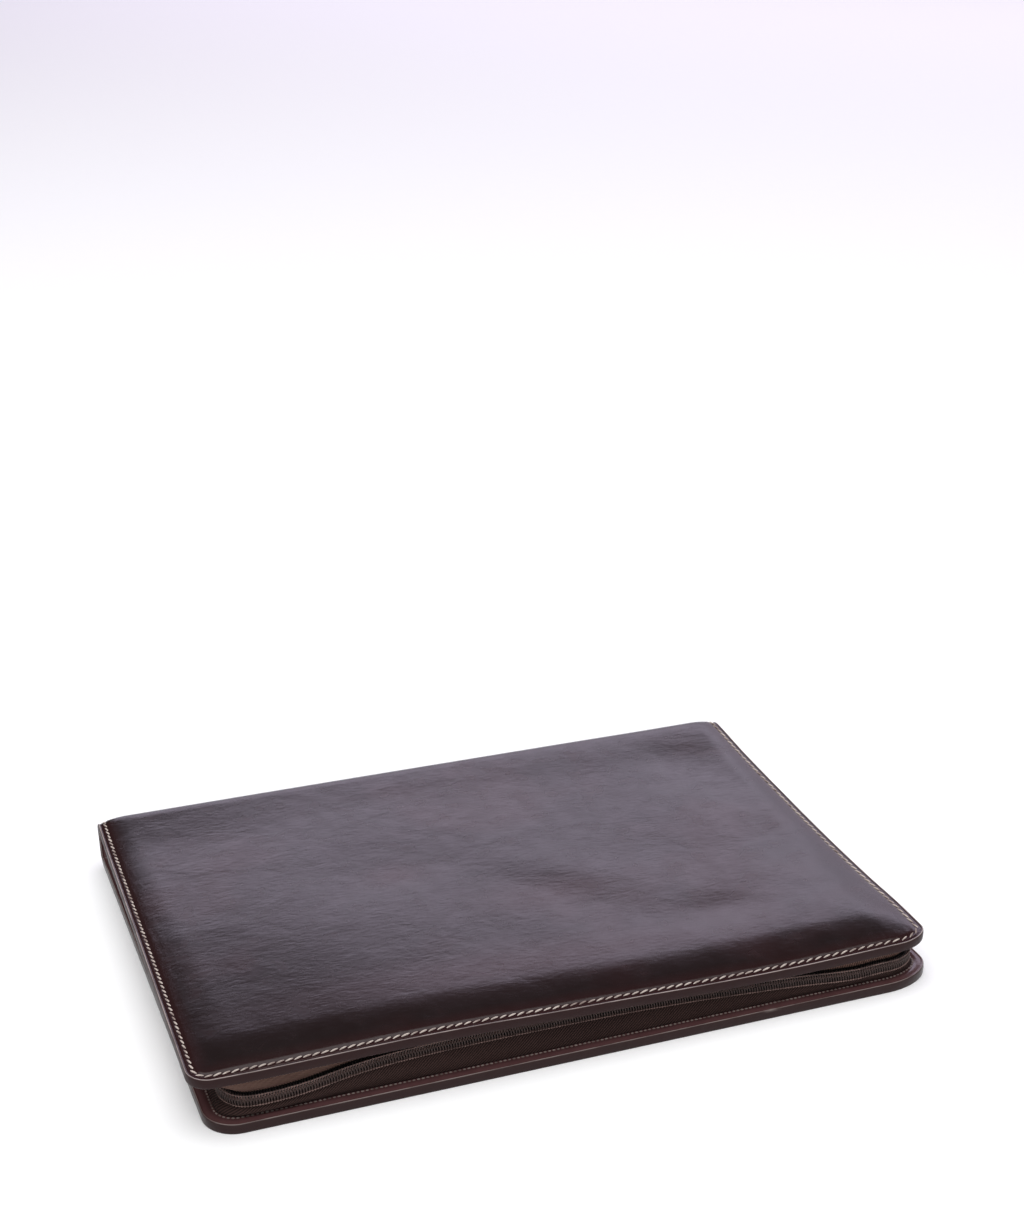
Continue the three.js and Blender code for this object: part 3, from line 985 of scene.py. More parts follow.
    def _rings(self) -> tuple[list[Array], list[float]]:
        """The loops of the rim, from the outer face over the edge to the inner face.

        Returns:
            The loops, and how far in from the outline each is, which is below 0 on the edge itself.
        """
        rings = [self.ring(inset, rise, True) for inset, rise in self.outer_rim]
        insets = [inset for inset, _ in self.outer_rim]
        low = self.ring(*self.inner_rim[0], False)
        high = rings[-1]
        step = 0.001
        stepped_in = self.ring(step, 0.0, True)
        for share, bulge in self.wall:
            ring = high + (low - high) * share
            rings.append(ring + (ring - stepped_in) * [1, 1, 0] * bulge / step)
            insets.append(-2 * step)
        rings += [self.ring(inset, rise, False) for inset, rise in self.inner_rim]
        insets += [inset for inset, _ in self.inner_rim]
        return rings, insets

    def build(self, material: bpy.types.Material) -> bpy.types.Object:
        """Model the cover and hand it over.

        Args:
            material: its leather.

        Returns:
            The finished cover.
        """
        outer, inner, _ = self.surface(self.border)
        columns, rows = outer.shape[:2]
        rings, insets = self._rings()
        outer_index = np.arange(columns * rows).reshape(columns, rows)
        inner_index = outer_index + columns * rows
        count = len(rings[0])
        ring_index = 2 * columns * rows + np.arange(len(rings) * count).reshape(-1, count)
        loops = np.vstack([self.border_of(outer_index), ring_index, self.border_of(inner_index)])
        faces = [grid_faces(outer_index), grid_faces(inner_index)[:, ::-1]]
        faces.append(grid_faces(np.concatenate([loops, loops[:, :1]], axis=1)))
        points = np.concatenate([outer.reshape(-1, 3), inner.reshape(-1, 3), *rings])
        cover = mesh_object("padded_cover", points, np.concatenate(faces))
        face_outwards(cover)
        depth = np.concatenate([self.from_edge(outer), self.from_edge(inner), np.repeat(insets, count)])
        self._mark(cover, points, depth, count)
        hand_over(cover, material, "leather", "leather_cover")
        return cover

    def _mark(self, cover: bpy.types.Object, points: Array, depth: Array, count: int) -> None:
        """Store what the leather's finish reads.

        Args:
            cover: the cover.
            points: its points, with the loops of the rim last.
            depth: how far each point is from the outline.
            count: how many points a loop has.
        """
        last_outer, first_inner = len(self.outer_rim), len(self.outer_rim) + len(self.wall)
        rings = first_inner + len(self.inner_rim)
        ring = (np.arange(len(points)) - len(points)) // count + rings
        x, y, z = points.T
        # Ridge mark: a pale line, partly real wear and partly a painted highlight along the edges; the nick
        # added below is real wear
        ridge = np.exp(-(((depth - self.ridge_inset) / self.ridge_width) ** 2))
        ridge[ring >= first_inner] *= self.inner_wear_and_highlight
        nick = (self.nick_place, self.form.low.y + self.nick_inset, self.form.lower_wall)
        from_nick = ((points - nick) / self.nick_reach) ** 2
        wall = ((ring >= last_outer - 2) & (ring < first_inner + 2)).astype(float)
        wall[(z < self.form.lower_wall + 0.0005) & (wall > 0)] = self.lower_wall_dullness
        blush = np.zeros(len(points))
        for middle_x, middle_y, long, wide in self.blushes:
            blush += np.exp(-(((x - middle_x) / long) ** 2) - ((y - middle_y) / wide) ** 2)
        store(cover, "edge_distance", np.maximum(depth, 0))
        store(cover, "ridge", np.maximum(ridge, np.exp(-from_nick.sum(axis=1))))
        store(cover, "wall", wall)
        store(cover, "lip", ring >= first_inner + 3)
        store(cover, "blush", blush * (z > self.form.front_height / 2))

    def from_edge(self, grid: Array) -> Array:
        """Distance of a face's points from the cover's edge, for the finish.

        Args:
            grid: the face's points, as columns by rows by 3.

        Returns:
            One distance a point.
        """
        form = self.form
        side = form.upper_width / 2 - np.abs(grid[..., 0] - form.upper_centre)
        return np.maximum(np.minimum(side, grid[..., 1] - form.low.y), self.border).ravel()


@dataclass(frozen=True)
class Path3:
    """A line in space with a direction away from the surface that it runs on."""

    points: Array
    normals: Array

    def resampled(self, pitch: float, widen: float = 0.0) -> tuple[Array, Array, Array]:
        """Stations one pitch apart.

        Args:
            pitch: the distance between stations, at X = 0.
            widen: how much the distance grows with X, metre by metre.

        Returns:
            Their places, directions along the line, and normals.
        """
        steps = np.linalg.norm(np.diff(self.points, axis=0), axis=1)
        middles = (self.points[1:, 0] + self.points[:-1, 0]) / 2
        counted = np.concatenate([[0], np.cumsum(steps / (pitch + widen * middles))])
        count = max(2, int(round(counted[-1])))
        at = (np.arange(count) + 0.5) / count * counted[-1]

        def read(values: Array, where: Array) -> Array:
            """The values at these places along the line."""
            return np.stack([np.interp(where, counted, values[:, k]) for k in range(3)], axis=1)

        places = read(self.points, at)
        along = read(self.points, at + 0.2) - read(self.points, at - 0.2)
        normals = read(self.normals, at)
        along /= np.linalg.norm(along, axis=1, keepdims=True)
        normals /= np.linalg.norm(normals, axis=1, keepdims=True)
        return places, along, normals


@dataclass
class StitchRow:
    """A row of stitches laid along a path.

    pitch is the distance between stitches at X = 0, and widen is how much it grows with X, metre by
    metre. lean and its spread are in degrees. sink is how deep a stitch sits in the leather, and dive
    is how deep its ends go, as a share of its height. size_spread is how unequal the stitches are.
    """

    name: str
    pitch: float
    length: float
    width: float
    height: float
    lean: float
    sink: float = 0.0
    widen: float = 0.0
    dive: float = 0.45
    lean_spread: float = 2.5
    size_spread: float = 0.04

    def template(self) -> tuple[Array, list[tuple[int, ...]]]:
        """Model one stitch: a plump thread whose ends dive into the leather.

        Returns:
            Its points along X, with Z away from the leather, and its faces.
        """
        start_clean()
        bpy.ops.mesh.primitive_uv_sphere_add(
            segments=8, ring_count=7, radius=0.5, rotation=(0, math.pi / 2, 0)
        )
        bpy.ops.object.transform_apply(location=True, rotation=True, scale=True)
        made = bpy.context.object
        points = np.array([vertex.co[:] for vertex in made.data.vertices])
        faces = [tuple(face.vertices) for face in made.data.polygons]
        along = points[:, 0] * 2
        points[:, 1:] *= 1.12 - 0.45 * along[:, None] ** 4
        points *= (self.length, self.width, self.height)
        points[:, 2] -= self.height * self.dive * np.abs(along) ** 3
        bpy.data.objects.remove(made)
        return points, faces

    def build(self, paths: list[Path3], material: bpy.types.Material, slot: str) -> bpy.types.Object:
        """Lay the stitches and hand them over as one piece.

        Args:
            paths: the lines that they follow.
            material: their thread.
            slot: not used.

        Returns:
            The finished row.
        """
        shape, shape_faces = self.template()
        points, faces = [], []
        chance = np.random.default_rng(7)
        for path in paths:
            places, along, normals = path.resampled(self.pitch, self.widen)
            across = np.cross(normals, along)
            for place, x_axis, y_axis, z_axis in zip(places, along, across, normals):
                lean = math.radians(self.lean + chance.normal(0, self.lean_spread))
                leant = x_axis * math.cos(lean) + y_axis * math.sin(lean)
                aside = y_axis * math.cos(lean) - x_axis * math.sin(lean)
                basis = np.stack([leant, aside, z_axis])
                spread = 1 + self.widen / self.pitch * place[0]
                size = np.array([spread, 1, 1]) * (1 + chance.normal(0, self.size_spread))
                base = len(points) * len(shape)
                points.append(shape * size @ basis + place - z_axis * self.sink)
                faces.extend(tuple(base + corner for corner in face) for face in shape_faces)
        laid = np.concatenate(points)
        laid[:, 2] = np.maximum(laid[:, 2], 0)
        mesh = bpy.data.meshes.new(self.name)
        mesh.from_pydata(laid.tolist(), [], faces)
        mesh.shade_smooth()
        row = bpy.data.objects.new(self.name, mesh)
        bpy.context.collection.objects.link(row)
        hand_over(row, material, slot)
        return row


@dataclass
class CoverStitching:
    """The stitched border of the covers, and the seam that holds the gusset."""

    cover: LeatherCover
    inset: float = 0.0033
    groove: float = 0.00043
    seam_inset: float = 0.0052
    seam_groove: float = 0.0002
    seam_end: float = 0.105

    def border(self) -> Path3:
        """The groove round the whole cover, spine ends included, on its outer face.

        Returns:
            A closed path.
        """
        points = self.cover.ring(self.inset, -self.groove, True)
        normals = self.cover.border_of(self.cover.surface(self.inset)[2])
        return Path3(np.vstack([points, points[:1]]), np.vstack([normals, normals[:1]]))

    def seam(self) -> Path3:
        """The dotted seam on the lower cover's lip, from the left end of the zip to its right end.

        Returns:
            An open path.
        """
        points = self.cover.ring(self.seam_inset, -self.seam_groove, False)
        normals = -self.cover.border_of(self.cover.surface(self.seam_inset)[2])
        keep = (points[:, 2] < self.cover.form.lower_wall + 0.001) & (points[:, 1] < self.seam_end)
        first = int(np.flatnonzero(keep)[0])
        chosen = np.roll(np.arange(len(points)), -first)[: int(keep.sum())]
        return Path3(points[chosen], normals[chosen])

    def build(self, thread: bpy.types.Material, seam_thread: bpy.types.Material) -> None:
        """Lay both rows.

        Args:
            thread: the thread of the border.
            seam_thread: the darker thread of the seam.
        """
        border = StitchRow(
            "border_stitches",
            pitch=0.00418,
            length=0.0053,
            width=0.00074,
            height=0.00084,
            lean=19,
            widen=0.0024,
        )
        border.build([self.border()], thread, "leather")
        seam = StitchRow(
            "seam_stitches",
            pitch=0.0021,
            length=0.0019,
            width=0.00090,
            height=0.00070,
            lean=0,
            sink=0.00005,
        )
        seam.build([self.seam()], seam_thread, "leather")


# The zip's wander, from the left tab to the right tab: place along, and shares of the chain's inset, of
# the height of the opening and of the gusset's bulge
ZIP_RUN = np.array([
    (0.000, 0.53, 0.50, 0.0), (0.080, 0.80, 0.48, 0.0), (0.150, 1.02, 0.46, 0.1), (0.240, 1.04, 0.45, 0.3),
    (0.262, 0.92, 0.42, 0.5), (0.280, 0.66, 0.40, 0.8), (0.296, 0.48, 0.41, 0.9), (0.320, 0.49, 0.46, 0.8),
    (0.350, 0.64, 0.59, 0.6), (0.378, 0.82, 0.63, 0.5), (0.428, 0.94, 0.66, 0.3), (0.500, 1.00, 0.69, 0.2),
    (0.570, 0.94, 0.68, 0.2), (0.615, 0.76, 0.64, 0.2), (0.646, 0.59, 0.60, 0.3), (0.683, 0.42, 0.48, 0.4),
    (0.704, 0.42, 0.50, 0.3), (0.740, 0.50, 0.47, 0.1), (0.800, 0.53, 0.48, 0.0), (1.000, 0.53, 0.50, 0.0),
])


@dataclass(frozen=True)
class Run:
    """Stations round the opening, from the left tab to the right tab, with outward normals."""

    x: Array
    y: Array
    nx: Array
    ny: Array

    def inward(self, distance: Array | float) -> "Run":
        """The same stations, moved in from the outline."""
        return Run(self.x - self.nx * distance, self.y - self.ny * distance, self.nx, self.ny)


@dataclass
class ZipForm:
    """The line that the zip follows, and the gusset between it and the covers.

    bulge is how far the gusset bellies out, where the zip's table of shares says 1.
    """

    form: CaseForm
    end_y: float
    chain_inset: float = 0.0085
    chain_width: float = 0.006
    chain_thickness: float = 0.0024
    seam_inset: float = 0.0057
    bulge: float = 0.003
    gap: float = 0.0003
    side_steps: int = 60
    corner_steps: int = 16
    front_steps: int = 190

    def opening_run(self, edge: Callable[[Array, Side], Array], corners: tuple[Corner, Corner]) -> Run:
        """Stations on an outline, as many whatever its shape.

        Args:
            edge: gives the X of an end at a depth.
            corners: the corners on the left and on the right.

        Returns:
            The stations.
        """
        front = self.form.low.y
        sides = []
        for side, corner in zip(Side, corners):
            y = np.linspace(self.end_y, front + corner.deep, self.side_steps + 1)[:-1]
            angle = np.linspace(0, math.pi / 2, self.corner_steps + 1)[:-1]
            y_turn = front + corner.deep * (1 - np.sin(angle))
            x = np.concatenate([
                edge(y, side),
                edge(y_turn, side) - side.value * corner.wide * (1 - np.cos(angle)),
            ])
            nx, ny = side.value * corner.deep * np.cos(angle), -corner.wide * np.sin(angle)
            size = np.hypot(nx, ny)
            nx = np.concatenate([np.full_like(y, side.value), nx / size])
            ny = np.concatenate([np.zeros_like(y), ny / size])
            sides.append((x, np.concatenate([y, y_turn]), nx, ny))
        at = np.array([front])
        left = edge(at, Side.LEFT)[0] + corners[0].wide
        right = edge(at, Side.RIGHT)[0] - corners[1].wide
        x = np.linspace(left, right, self.front_steps + 1)
        middle = (x, np.full_like(x, front), np.zeros_like(x), np.full_like(x, -1.0))
        return Run(*(np.concatenate([a, b, c[::-1]]) for a, b, c in zip(sides[0], middle, sides[1])))

    def chain(self) -> tuple[Run, Array, Array]:
        """The middle line of the chain.

        Returns:
            Its stations, their heights, and the belly of the lower gusset there.
        """
        run = self.opening_run(self.form.common_edge, self.form.gusset_corners)
        steps = np.hypot(np.diff(run.x), np.diff(run.y))
        along = np.concatenate([[0], np.cumsum(steps)]) / steps.sum()
        inset, height, belly = (smooth_table(ZIP_RUN[:, [0, k]], along) for k in (1, 2, 3))
        place = run.inward(self.chain_inset * inset)
        low = self.form.lower_wall
        high = self.form.inner_height(place.x, place.y)
        return place, low + (high - low) * height, self.bulge * belly


@dataclass
class GussetTape:
    """Gusset cloth from one cover's seam to the back of the zip chain.

    gather is how deep the cloth puckers where it turns a corner. upper_bulge is how much of the belly
    the upper cloth has.
    """

    zip_form: ZipForm
    half: Half
    thickness: float = 0.0007
    cloth_steps: int = 14
    shares_behind: Triple = (0.15, 0.5, 1.0)
    gather: float = 0.0004
    gather_pitch: float = 0.0024
    upper_bulge: float = 0.3
    never_zero: float = 1e-9

    def _grid(self) -> tuple[Array, Array]:
        """The cloth's outer face, from the seam to behind the zip.

        Returns:
            Its points, as stations by rows by 3, and how far along the zip each station is.
        """
        zip_form, form = self.zip_form, self.zip_form.form
        chain, chain_z, belly = zip_form.chain()
        upper = self.half is Half.UPPER
        corners = form.upper_corners if upper else form.lower_corners
        outline = zip_form.opening_run(partial(form.edge, self.half), corners)
        foot = outline.inward(zip_form.seam_inset)
        foot_z = np.full_like(chain_z, form.lower_wall + zip_form.gap / 3)
        if upper:
            foot_z = form.inner_height(foot.x, foot.y) - zip_form.gap
        behind = chain.inward(zip_form.chain_thickness / 2 + zip_form.gap)
        sign = self.half.value
        head_z = chain_z + sign * (zip_form.chain_width / 2 + zip_form.gap)
        steps = np.concatenate([[0], np.cumsum(np.hypot(np.diff(chain.x), np.diff(chain.y)))])
        turning = np.abs(np.gradient(chain.ny))
        turning /= turning.max() + self.never_zero
        gathers = self.gather * np.sin(steps * 2 * math.pi / self.gather_pitch) * turning
        bulge = belly * (self.upper_bulge if upper else 1.0)
        rows = []
        for share in np.linspace(0, 1, self.cloth_steps):
            push = (bulge + gathers) * math.sin(math.pi * share)
            x = foot.x + (behind.x - foot.x) * share + chain.nx * push
            y = foot.y + (behind.y - foot.y) * share + chain.ny * push
            rows.append(np.stack([x, y, foot_z + (head_z - foot_z) * share], axis=1))
        end_z = chain_z + sign * zip_form.gap / 2
        for share in self.shares_behind:
            rows.append(np.stack([behind.x, behind.y, head_z + (end_z - head_z) * share], axis=1))
        return np.stack(rows, axis=1), steps

    def build(self, material: bpy.types.Material) -> bpy.types.Object:
        """Model the cloth and hand it over.

        Args:
            material: its weave.

        Returns:
            The finished cloth.
        """
        name = self.half.name.lower()
        grid, steps = self._grid()
        faces = grid_faces(np.arange(grid.shape[0] * grid.shape[1]).reshape(grid.shape[:2]))
        if self.half is Half.UPPER:
            faces = faces[:, ::-1]
        cloth = mesh_object(f"gusset_cloth_{name}", grid, faces)
        self._map(cloth, grid, steps)
        # Rows behind the chain get painted shade in the weave's finish
        painted_shade_behind_zip = np.zeros(grid.shape[:2])
        painted_shade_behind_zip[:, self.cloth_steps :] = 1.0
        store(cloth, "painted_shade_behind_zip", painted_shade_behind_zip)
        apply_modifier(cloth, "SOLIDIFY", thickness=self.thickness, offset=-1.0)
        widths = np.linalg.norm(np.diff(grid, axis=1), axis=2).sum(axis=1)
        lengths = np.linalg.norm(np.diff(grid, axis=0), axis=2).sum(axis=0)
        flat = (float(widths.max()) + self.thickness, float(lengths.max()) + self.thickness)
        patches = np.cross(grid[1:, :-1] - grid[:-1, :-1], grid[:-1, 1:] - grid[:-1, :-1])
        area = min(float(np.linalg.norm(patches, axis=2).sum()), flat[0] * flat[1])
        hand_over(cloth, material, "gusset_cloth", f"zip_tape_{name}")
        return cloth

    @staticmethod
    def _map(cloth: bpy.types.Object, grid: Array, steps: Array) -> None:
        """Give the cloth a UV map in metres: along the zip, and across it.

        Args:
            cloth: the cloth, before it has a thickness.
            grid: its points, as stations by rows by 3.
            steps: how far along the zip each station is.
        """
        widths = np.linalg.norm(np.diff(grid, axis=1), axis=2)
        across = np.concatenate([np.zeros((len(grid), 1)), np.cumsum(widths, axis=1)], axis=1)
        along = np.repeat(steps[:, None], grid.shape[1], axis=1)
        uv = np.stack([along, across], axis=2).reshape(-1, 2)
        layer = cloth.data.uv_layers.new(name="cloth")
        corners = np.empty(len(cloth.data.loops), dtype=np.int32)
        cloth.data.loops.foreach_get("vertex_index", corners)
        layer.data.foreach_set("uv", uv[corners].astype(np.float32).ravel())


@dataclass
class ZipCoil:
    """One row of the zip: a nylon wire wound in flat turns that hook into the other row.

    hook is how far the turns reach past the middle of the zip, and tail is how far their backs reach
    past its edge. The wire is swollen up to head_reach from the middle, and again over tail_reach from
    tail_start on. The heads carry a painted highlight, strongest on their front face; two shares give how
    strong it is on their back face, weaker there as painted shade, and on the wire beside them in front.
    """

    zip_form: ZipForm
    half: Half
    pitch: float = 0.00127
    wire: float = 0.00034
    hook: float = 0.0002
    tail: float = 0.0004
    head_reach: float = 0.0010
    tail_start: float = 0.0018
    tail_reach: float = 0.0006
    thinnest: float = 0.62
    head_swell: float = 0.48
    tail_swell: float = 0.25
    # Shares of the painted highlight: on the back of the heads, and on the wire beside them in front
    highlight_behind: float = 0.25
    highlight_beside: float = 0.16
    sewing_line: float = 0.0026
    turn_points: int = 12

    def _winding(self) -> tuple[Array, Array, Array]:
        """The wire's middle line.

        Returns:
            Its points, and how far each is across the zip from its middle, and out from the chain's.
        """
        zip_form = self.zip_form
        chain, chain_z, _ = zip_form.chain()
        line = np.stack([chain.x, chain.y, chain_z], axis=1)
        travelled = np.concatenate([[0], np.cumsum(np.linalg.norm(np.diff(line, axis=0), axis=1))])
        turns = int(travelled[-1] / self.pitch) - 1
        angle = np.arange(turns * self.turn_points) / self.turn_points * 2 * math.pi
        shift = 0.5 if self.half is Half.UPPER else 1.0
        at = (angle / (2 * math.pi) + shift) * self.pitch
        x, y, z, nx, ny = (np.interp(at, travelled, values) for values in (*line.T, chain.nx, chain.ny))
        far = zip_form.chain_width / 2 - self.wire + self.tail
        across = (far - self.hook) / 2 - (far + self.hook) / 2 * np.cos(angle)
        wave = np.sin(angle)
        out = (zip_form.chain_thickness / 2 - self.wire) * np.sign(wave) * np.abs(wave) ** 0.7
        return np.stack([x + nx * out, y + ny * out, z + self.half.value * across], axis=1), across, out

    def build(self, material: bpy.types.Material) -> bpy.types.Object:
        """Wind the wire and hand it over.

        Args:
            material: its nylon.

        Returns:
            The finished row of turns.
        """
        points, across, out = self._winding()
        curve = bpy.data.curves.new("coil", "CURVE")
        curve.dimensions = "3D"
        curve.bevel_depth = self.wire
        curve.bevel_resolution = 1
        curve.use_fill_caps = True
        spline = curve.splines.new("POLY")
        spline.points.add(len(points) - 1)
        spline.points.foreach_set("co", np.hstack([points, np.ones((len(points), 1))]).ravel())
        heads = ease(1.3 - np.abs(across) / self.head_reach)
        tails = ease((np.abs(across) - self.tail_start) / self.tail_reach)
        radius = self.thinnest + self.head_swell * heads + self.tail_swell * tails
        spline.points.foreach_set("radius", radius)
        coil = bpy.data.objects.new(f"coil_{self.half.name.lower()}", curve)
        bpy.context.collection.objects.link(coil)
        only(coil)
        bpy.ops.object.convert(target="MESH")
        coil = bpy.context.object
        coil.data.shade_smooth()
        # Painted highlight on the heads, strongest on their front face and weaker on their back as painted
        # shade; the wire beside the heads gets a faint one in front
        front = ease(out / self.zip_form.chain_thickness * 4 + 0.9)
        behind = self.highlight_behind
        pale = np.maximum(heads * (behind + (1 - behind) * front), self.highlight_beside * front)
        count = len(coil.data.vertices)
        pale = np.repeat(pale, count // len(points))[:count]
        store(coil, "painted_head_highlight", np.pad(pale, (0, count - len(pale)), mode="edge"))
        hand_over(coil, material, "zip_nylon", f"zip_coil_{self.half.name.lower()}")
        return coil

    def sewing(self) -> Path3:
        """The line of the thread that holds the turns down.

        Returns:
            A path on their outer face.
        """
        zip_form = self.zip_form
        chain, chain_z, _ = zip_form.chain()
        face = chain.inward(0.0001 - zip_form.chain_thickness / 2)
        points = np.stack([face.x, face.y, chain_z + self.half.value * self.sewing_line], axis=1)
        normals = np.stack([chain.nx, chain.ny, np.zeros_like(chain.nx)], axis=1)
        return Path3(points, normals)


@dataclass
class ZipSlider:
    """The slider and its pull, on the right-hand side.

    The bridge is a ring squeezed and stretched by its flatness and length. eye is the hole in the pull's
    end and tip is the width of its far end, both as shares of its width.
    """

    plate: float = 0.0013
    plate_round: float = 0.0006
    body: float = 0.010
    waist: float = 0.22
    flange_inset: float = 0.001
    flange_round: float = 0.0003
    bridge_wire: float = 0.00055
    bridge_radius: float = 0.0024
    bridge_flatness: float = 0.45
    bridge_length: float = 1.4
    pull_width: float = 0.005
    pull_thickness: float = 0.0011
    pull_round: float = 0.00025
    eye: float = 0.45
    tip: float = 0.62
    smooth_below: float = 35.0

    def build(self, material: bpy.types.Material) -> bpy.types.Object:
        """Model body, bridge and pull and hand them over as one piece.

        Args:
            material: its metal.

        Returns:
            The finished slider.
        """
        low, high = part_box("zip_slider")
        slider = self._joined(self._body(low, high), self._bridge(low, high), self._pull(low, high))
        slider.name = "slider"
        only(slider)
        bpy.ops.object.transform_apply(location=True, rotation=True, scale=True)
        bpy.ops.object.shade_smooth_by_angle(angle=math.radians(self.smooth_below))
        hand_over(slider, material, "slider_metal", "zip_slider")
        return slider

    @staticmethod
    def _joined(*parts: bpy.types.Object) -> bpy.types.Object:
        """Join meshes into the first of them.

        Args:
            parts: the objects.

        Returns:
            The one object that is left.
        """
        start_clean()
        for part in parts:
            part.select_set(True)
        bpy.context.view_layer.objects.active = parts[0]
        bpy.ops.object.join()
        return bpy.context.object

    @staticmethod
    def _block(low: Vector, high: Vector, round_by: float) -> bpy.types.Object:
        """A block with rounded edges.

        Args:
            low: its lowest corner.
            high: its highest corner.
            round_by: the radius of its edges.

        Returns:
            The block.
        """
        start_clean()
        bpy.ops.mesh.primitive_cube_add(size=1, location=(low + high) / 2, scale=high - low)
        made = bpy.context.object
        bpy.ops.object.transform_apply(location=True, rotation=True, scale=True)
        apply_modifier(made, "BEVEL", width=round_by, segments=3, limit_method="ANGLE")
        return made

    def _body(self, low: Vector, high: Vector) -> bpy.types.Object:
        """Face plate over both rows, with its two guide flanges.

        Args:
            low: the slider's lowest corner.
            high: its highest corner.

        Returns:
            The body.
        """
        face = high.x - self.plate * 1.5
        start_y = high.y - self.body
        back = Vector((face - self.plate * 0.5, start_y, low.z))
        front = Vector((face + self.plate * 0.5, high.y, high.z))
        plate = self._block(back, front, self.plate_round)
        subdivide(plate, 3)
        middle = (low.z + high.z) / 2
        for vertex in plate.data.vertices:
            share = (vertex.co.y - start_y) / self.body
            narrowed = 1 - self.waist * math.sin(math.pi * min(1, max(0, share))) ** 2
            vertex.co.z = middle + (vertex.co.z - middle) * narrowed
        flanges = []
        for z in (low.z, high.z - self.plate):
            first = Vector((low.x, start_y + self.flange_inset, z))
            last = Vector((face, high.y - self.flange_inset, z + self.plate))
            flanges.append(self._block(first, last, self.flange_round))
        return self._joined(plate, *flanges)

    def _bridge(self, low: Vector, high: Vector) -> bpy.types.Object:
        """The loop on the face plate that carries the pull.

        Args:
            low: the slider's lowest corner.
            high: its highest corner.

        Returns:
            The loop.
        """
        start_clean()
        centre = Vector((high.x - self.plate, high.y - self.body / 2, (low.z + high.z) / 2))
        bpy.ops.mesh.primitive_torus_add(
            location=centre,
            major_radius=self.bridge_radius,
            minor_radius=self.bridge_wire,
            major_segments=24,
            minor_segments=10,
        )
        made = bpy.context.object
        bpy.ops.object.transform_apply(location=True, rotation=True, scale=True)
        for vertex in made.data.vertices:
            vertex.co.x = centre.x + (vertex.co.x - centre.x) * self.bridge_flatness
            vertex.co.y = centre.y + (vertex.co.y - centre.y) * self.bridge_length
        return made

    def _pull(self, low: Vector, high: Vector) -> bpy.types.Object:
        """The flat pull, with an eye at its end.

        Args:
            low: the slider's lowest corner.
            high: its highest corner.

        Returns:
            The pull.
        """
        middle = (low.z + high.z) / 2
        thick = self.pull_thickness
        start_clean()
        bpy.ops.mesh.primitive_circle_add(vertices=32, radius=self.pull_width / 2, fill_type="NOTHING")
        made = bpy.context.object
        bpy.ops.object.mode_set(mode="EDIT")
        bpy.ops.mesh.select_all(action="SELECT")
        bpy.ops.mesh.extrude_edges_move()
        bpy.ops.transform.resize(value=(self.eye, self.eye, self.eye))
        bpy.ops.object.mode_set(mode="OBJECT")
        length = high.y - self.body / 2 - low.y
        for vertex in made.data.vertices:
            x, z = vertex.co.x, vertex.co.y
            if x > 0 and math.hypot(x, z) > self.pull_width * 0.4:
                x += length - self.pull_width
                z *= self.tip
            vertex.co = (high.x - thick, low.y + self.pull_width / 2 + x, middle + z)
        apply_modifier(made, "SOLIDIFY", thickness=thick, offset=0.0)
        apply_modifier(made, "BEVEL", width=self.pull_round, segments=2, limit_method="ANGLE")
        face_outwards(made)
        return made


@dataclass
class EndTab:
    """Folded leather between the covers, which closes the gusset towards the spine.

    fold is its thickness at the front, and body is its thickness behind. belly, hem and crease are how
    far its face swells, draws in at the covers and puckers. Its front is round over a share of its length
    that rounding gives, and the fold has thinned out after the share 1 / fold_falloff.
    """

    form: CaseForm
    side: Side
    inset: float = 0.0015
    gap: float = 0.0003
    fold: float = 0.0065
    body: float = 0.003
    belly: float = 0.00075
    hem: float = 0.0009
    crease: float = 0.00018
    front_round: float = 0.0012
    rounding: float = 0.12
    fold_falloff: float = 2.9
    fill: float = 0.3
    cuts: int = 15
    smooth_below: float = 50.0

    def build(self, material: bpy.types.Material) -> bpy.types.Object:
        """Model the tab and hand it over.

        Args:
            material: its leather.

        Returns:
            The finished tab.
        """
        node = f"end_tab_{self.side.name.lower()}"
        low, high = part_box(node)
        start_clean()
        bpy.ops.mesh.primitive_cube_add(size=1, location=(0, 0, 0))
        tab = bpy.context.object
        tab.name = f"tab_{self.side.name.lower()}"
        subdivide(tab, self.cuts)
        points = np.array([vertex.co[:] for vertex in tab.data.vertices])
        outward, along, rise = points[:, 0] + 0.5, points[:, 1] + 0.5, points[:, 2] + 0.5
        rounded = np.sin(np.clip(along / self.rounding, 0, 1) * math.pi / 2)
        y = low.y + (high.y - low.y) * along
        face = self.form.common_edge(y, self.side) - self.side.value * self.inset
        thick = self.body + (self.fold - self.body) * (1 - ease(along * self.fold_falloff))
        belly = self.belly * np.sin(math.pi * rise) - self.hem * np.abs(2 * rise - 1) ** 6
        creases = self.crease * np.sin(along * 23 + rise * 3) * np.sin(math.pi * rise)
        face = face + self.side.value * (belly + creases) * (0.4 + 0.6 * rounded)
        back = self.form.common_edge(y, self.side) - self.side.value * (self.inset + thick)
        points[:, 0] = back + (face - back) * (outward if self.side is Side.RIGHT else 1 - outward)
        arc = 1 - np.sqrt(np.clip(1 - (2 * outward - 1) ** 2, 0, 1))
        points[:, 1] = y + self.front_round * arc * (1 - rounded)
        foot = self.form.lower_wall + self.gap
        points[:, 2] = foot + (self.form.inner_height(face, y) - self.gap - foot) * rise
        tab.data.vertices.foreach_set("co", points.ravel())
        tab.data.update()
        face_outwards(tab)
        only(tab)
        bpy.ops.object.shade_smooth_by_angle(angle=math.radians(self.smooth_below))
        hand_over(tab, material, "tab_leather", node)
        return tab


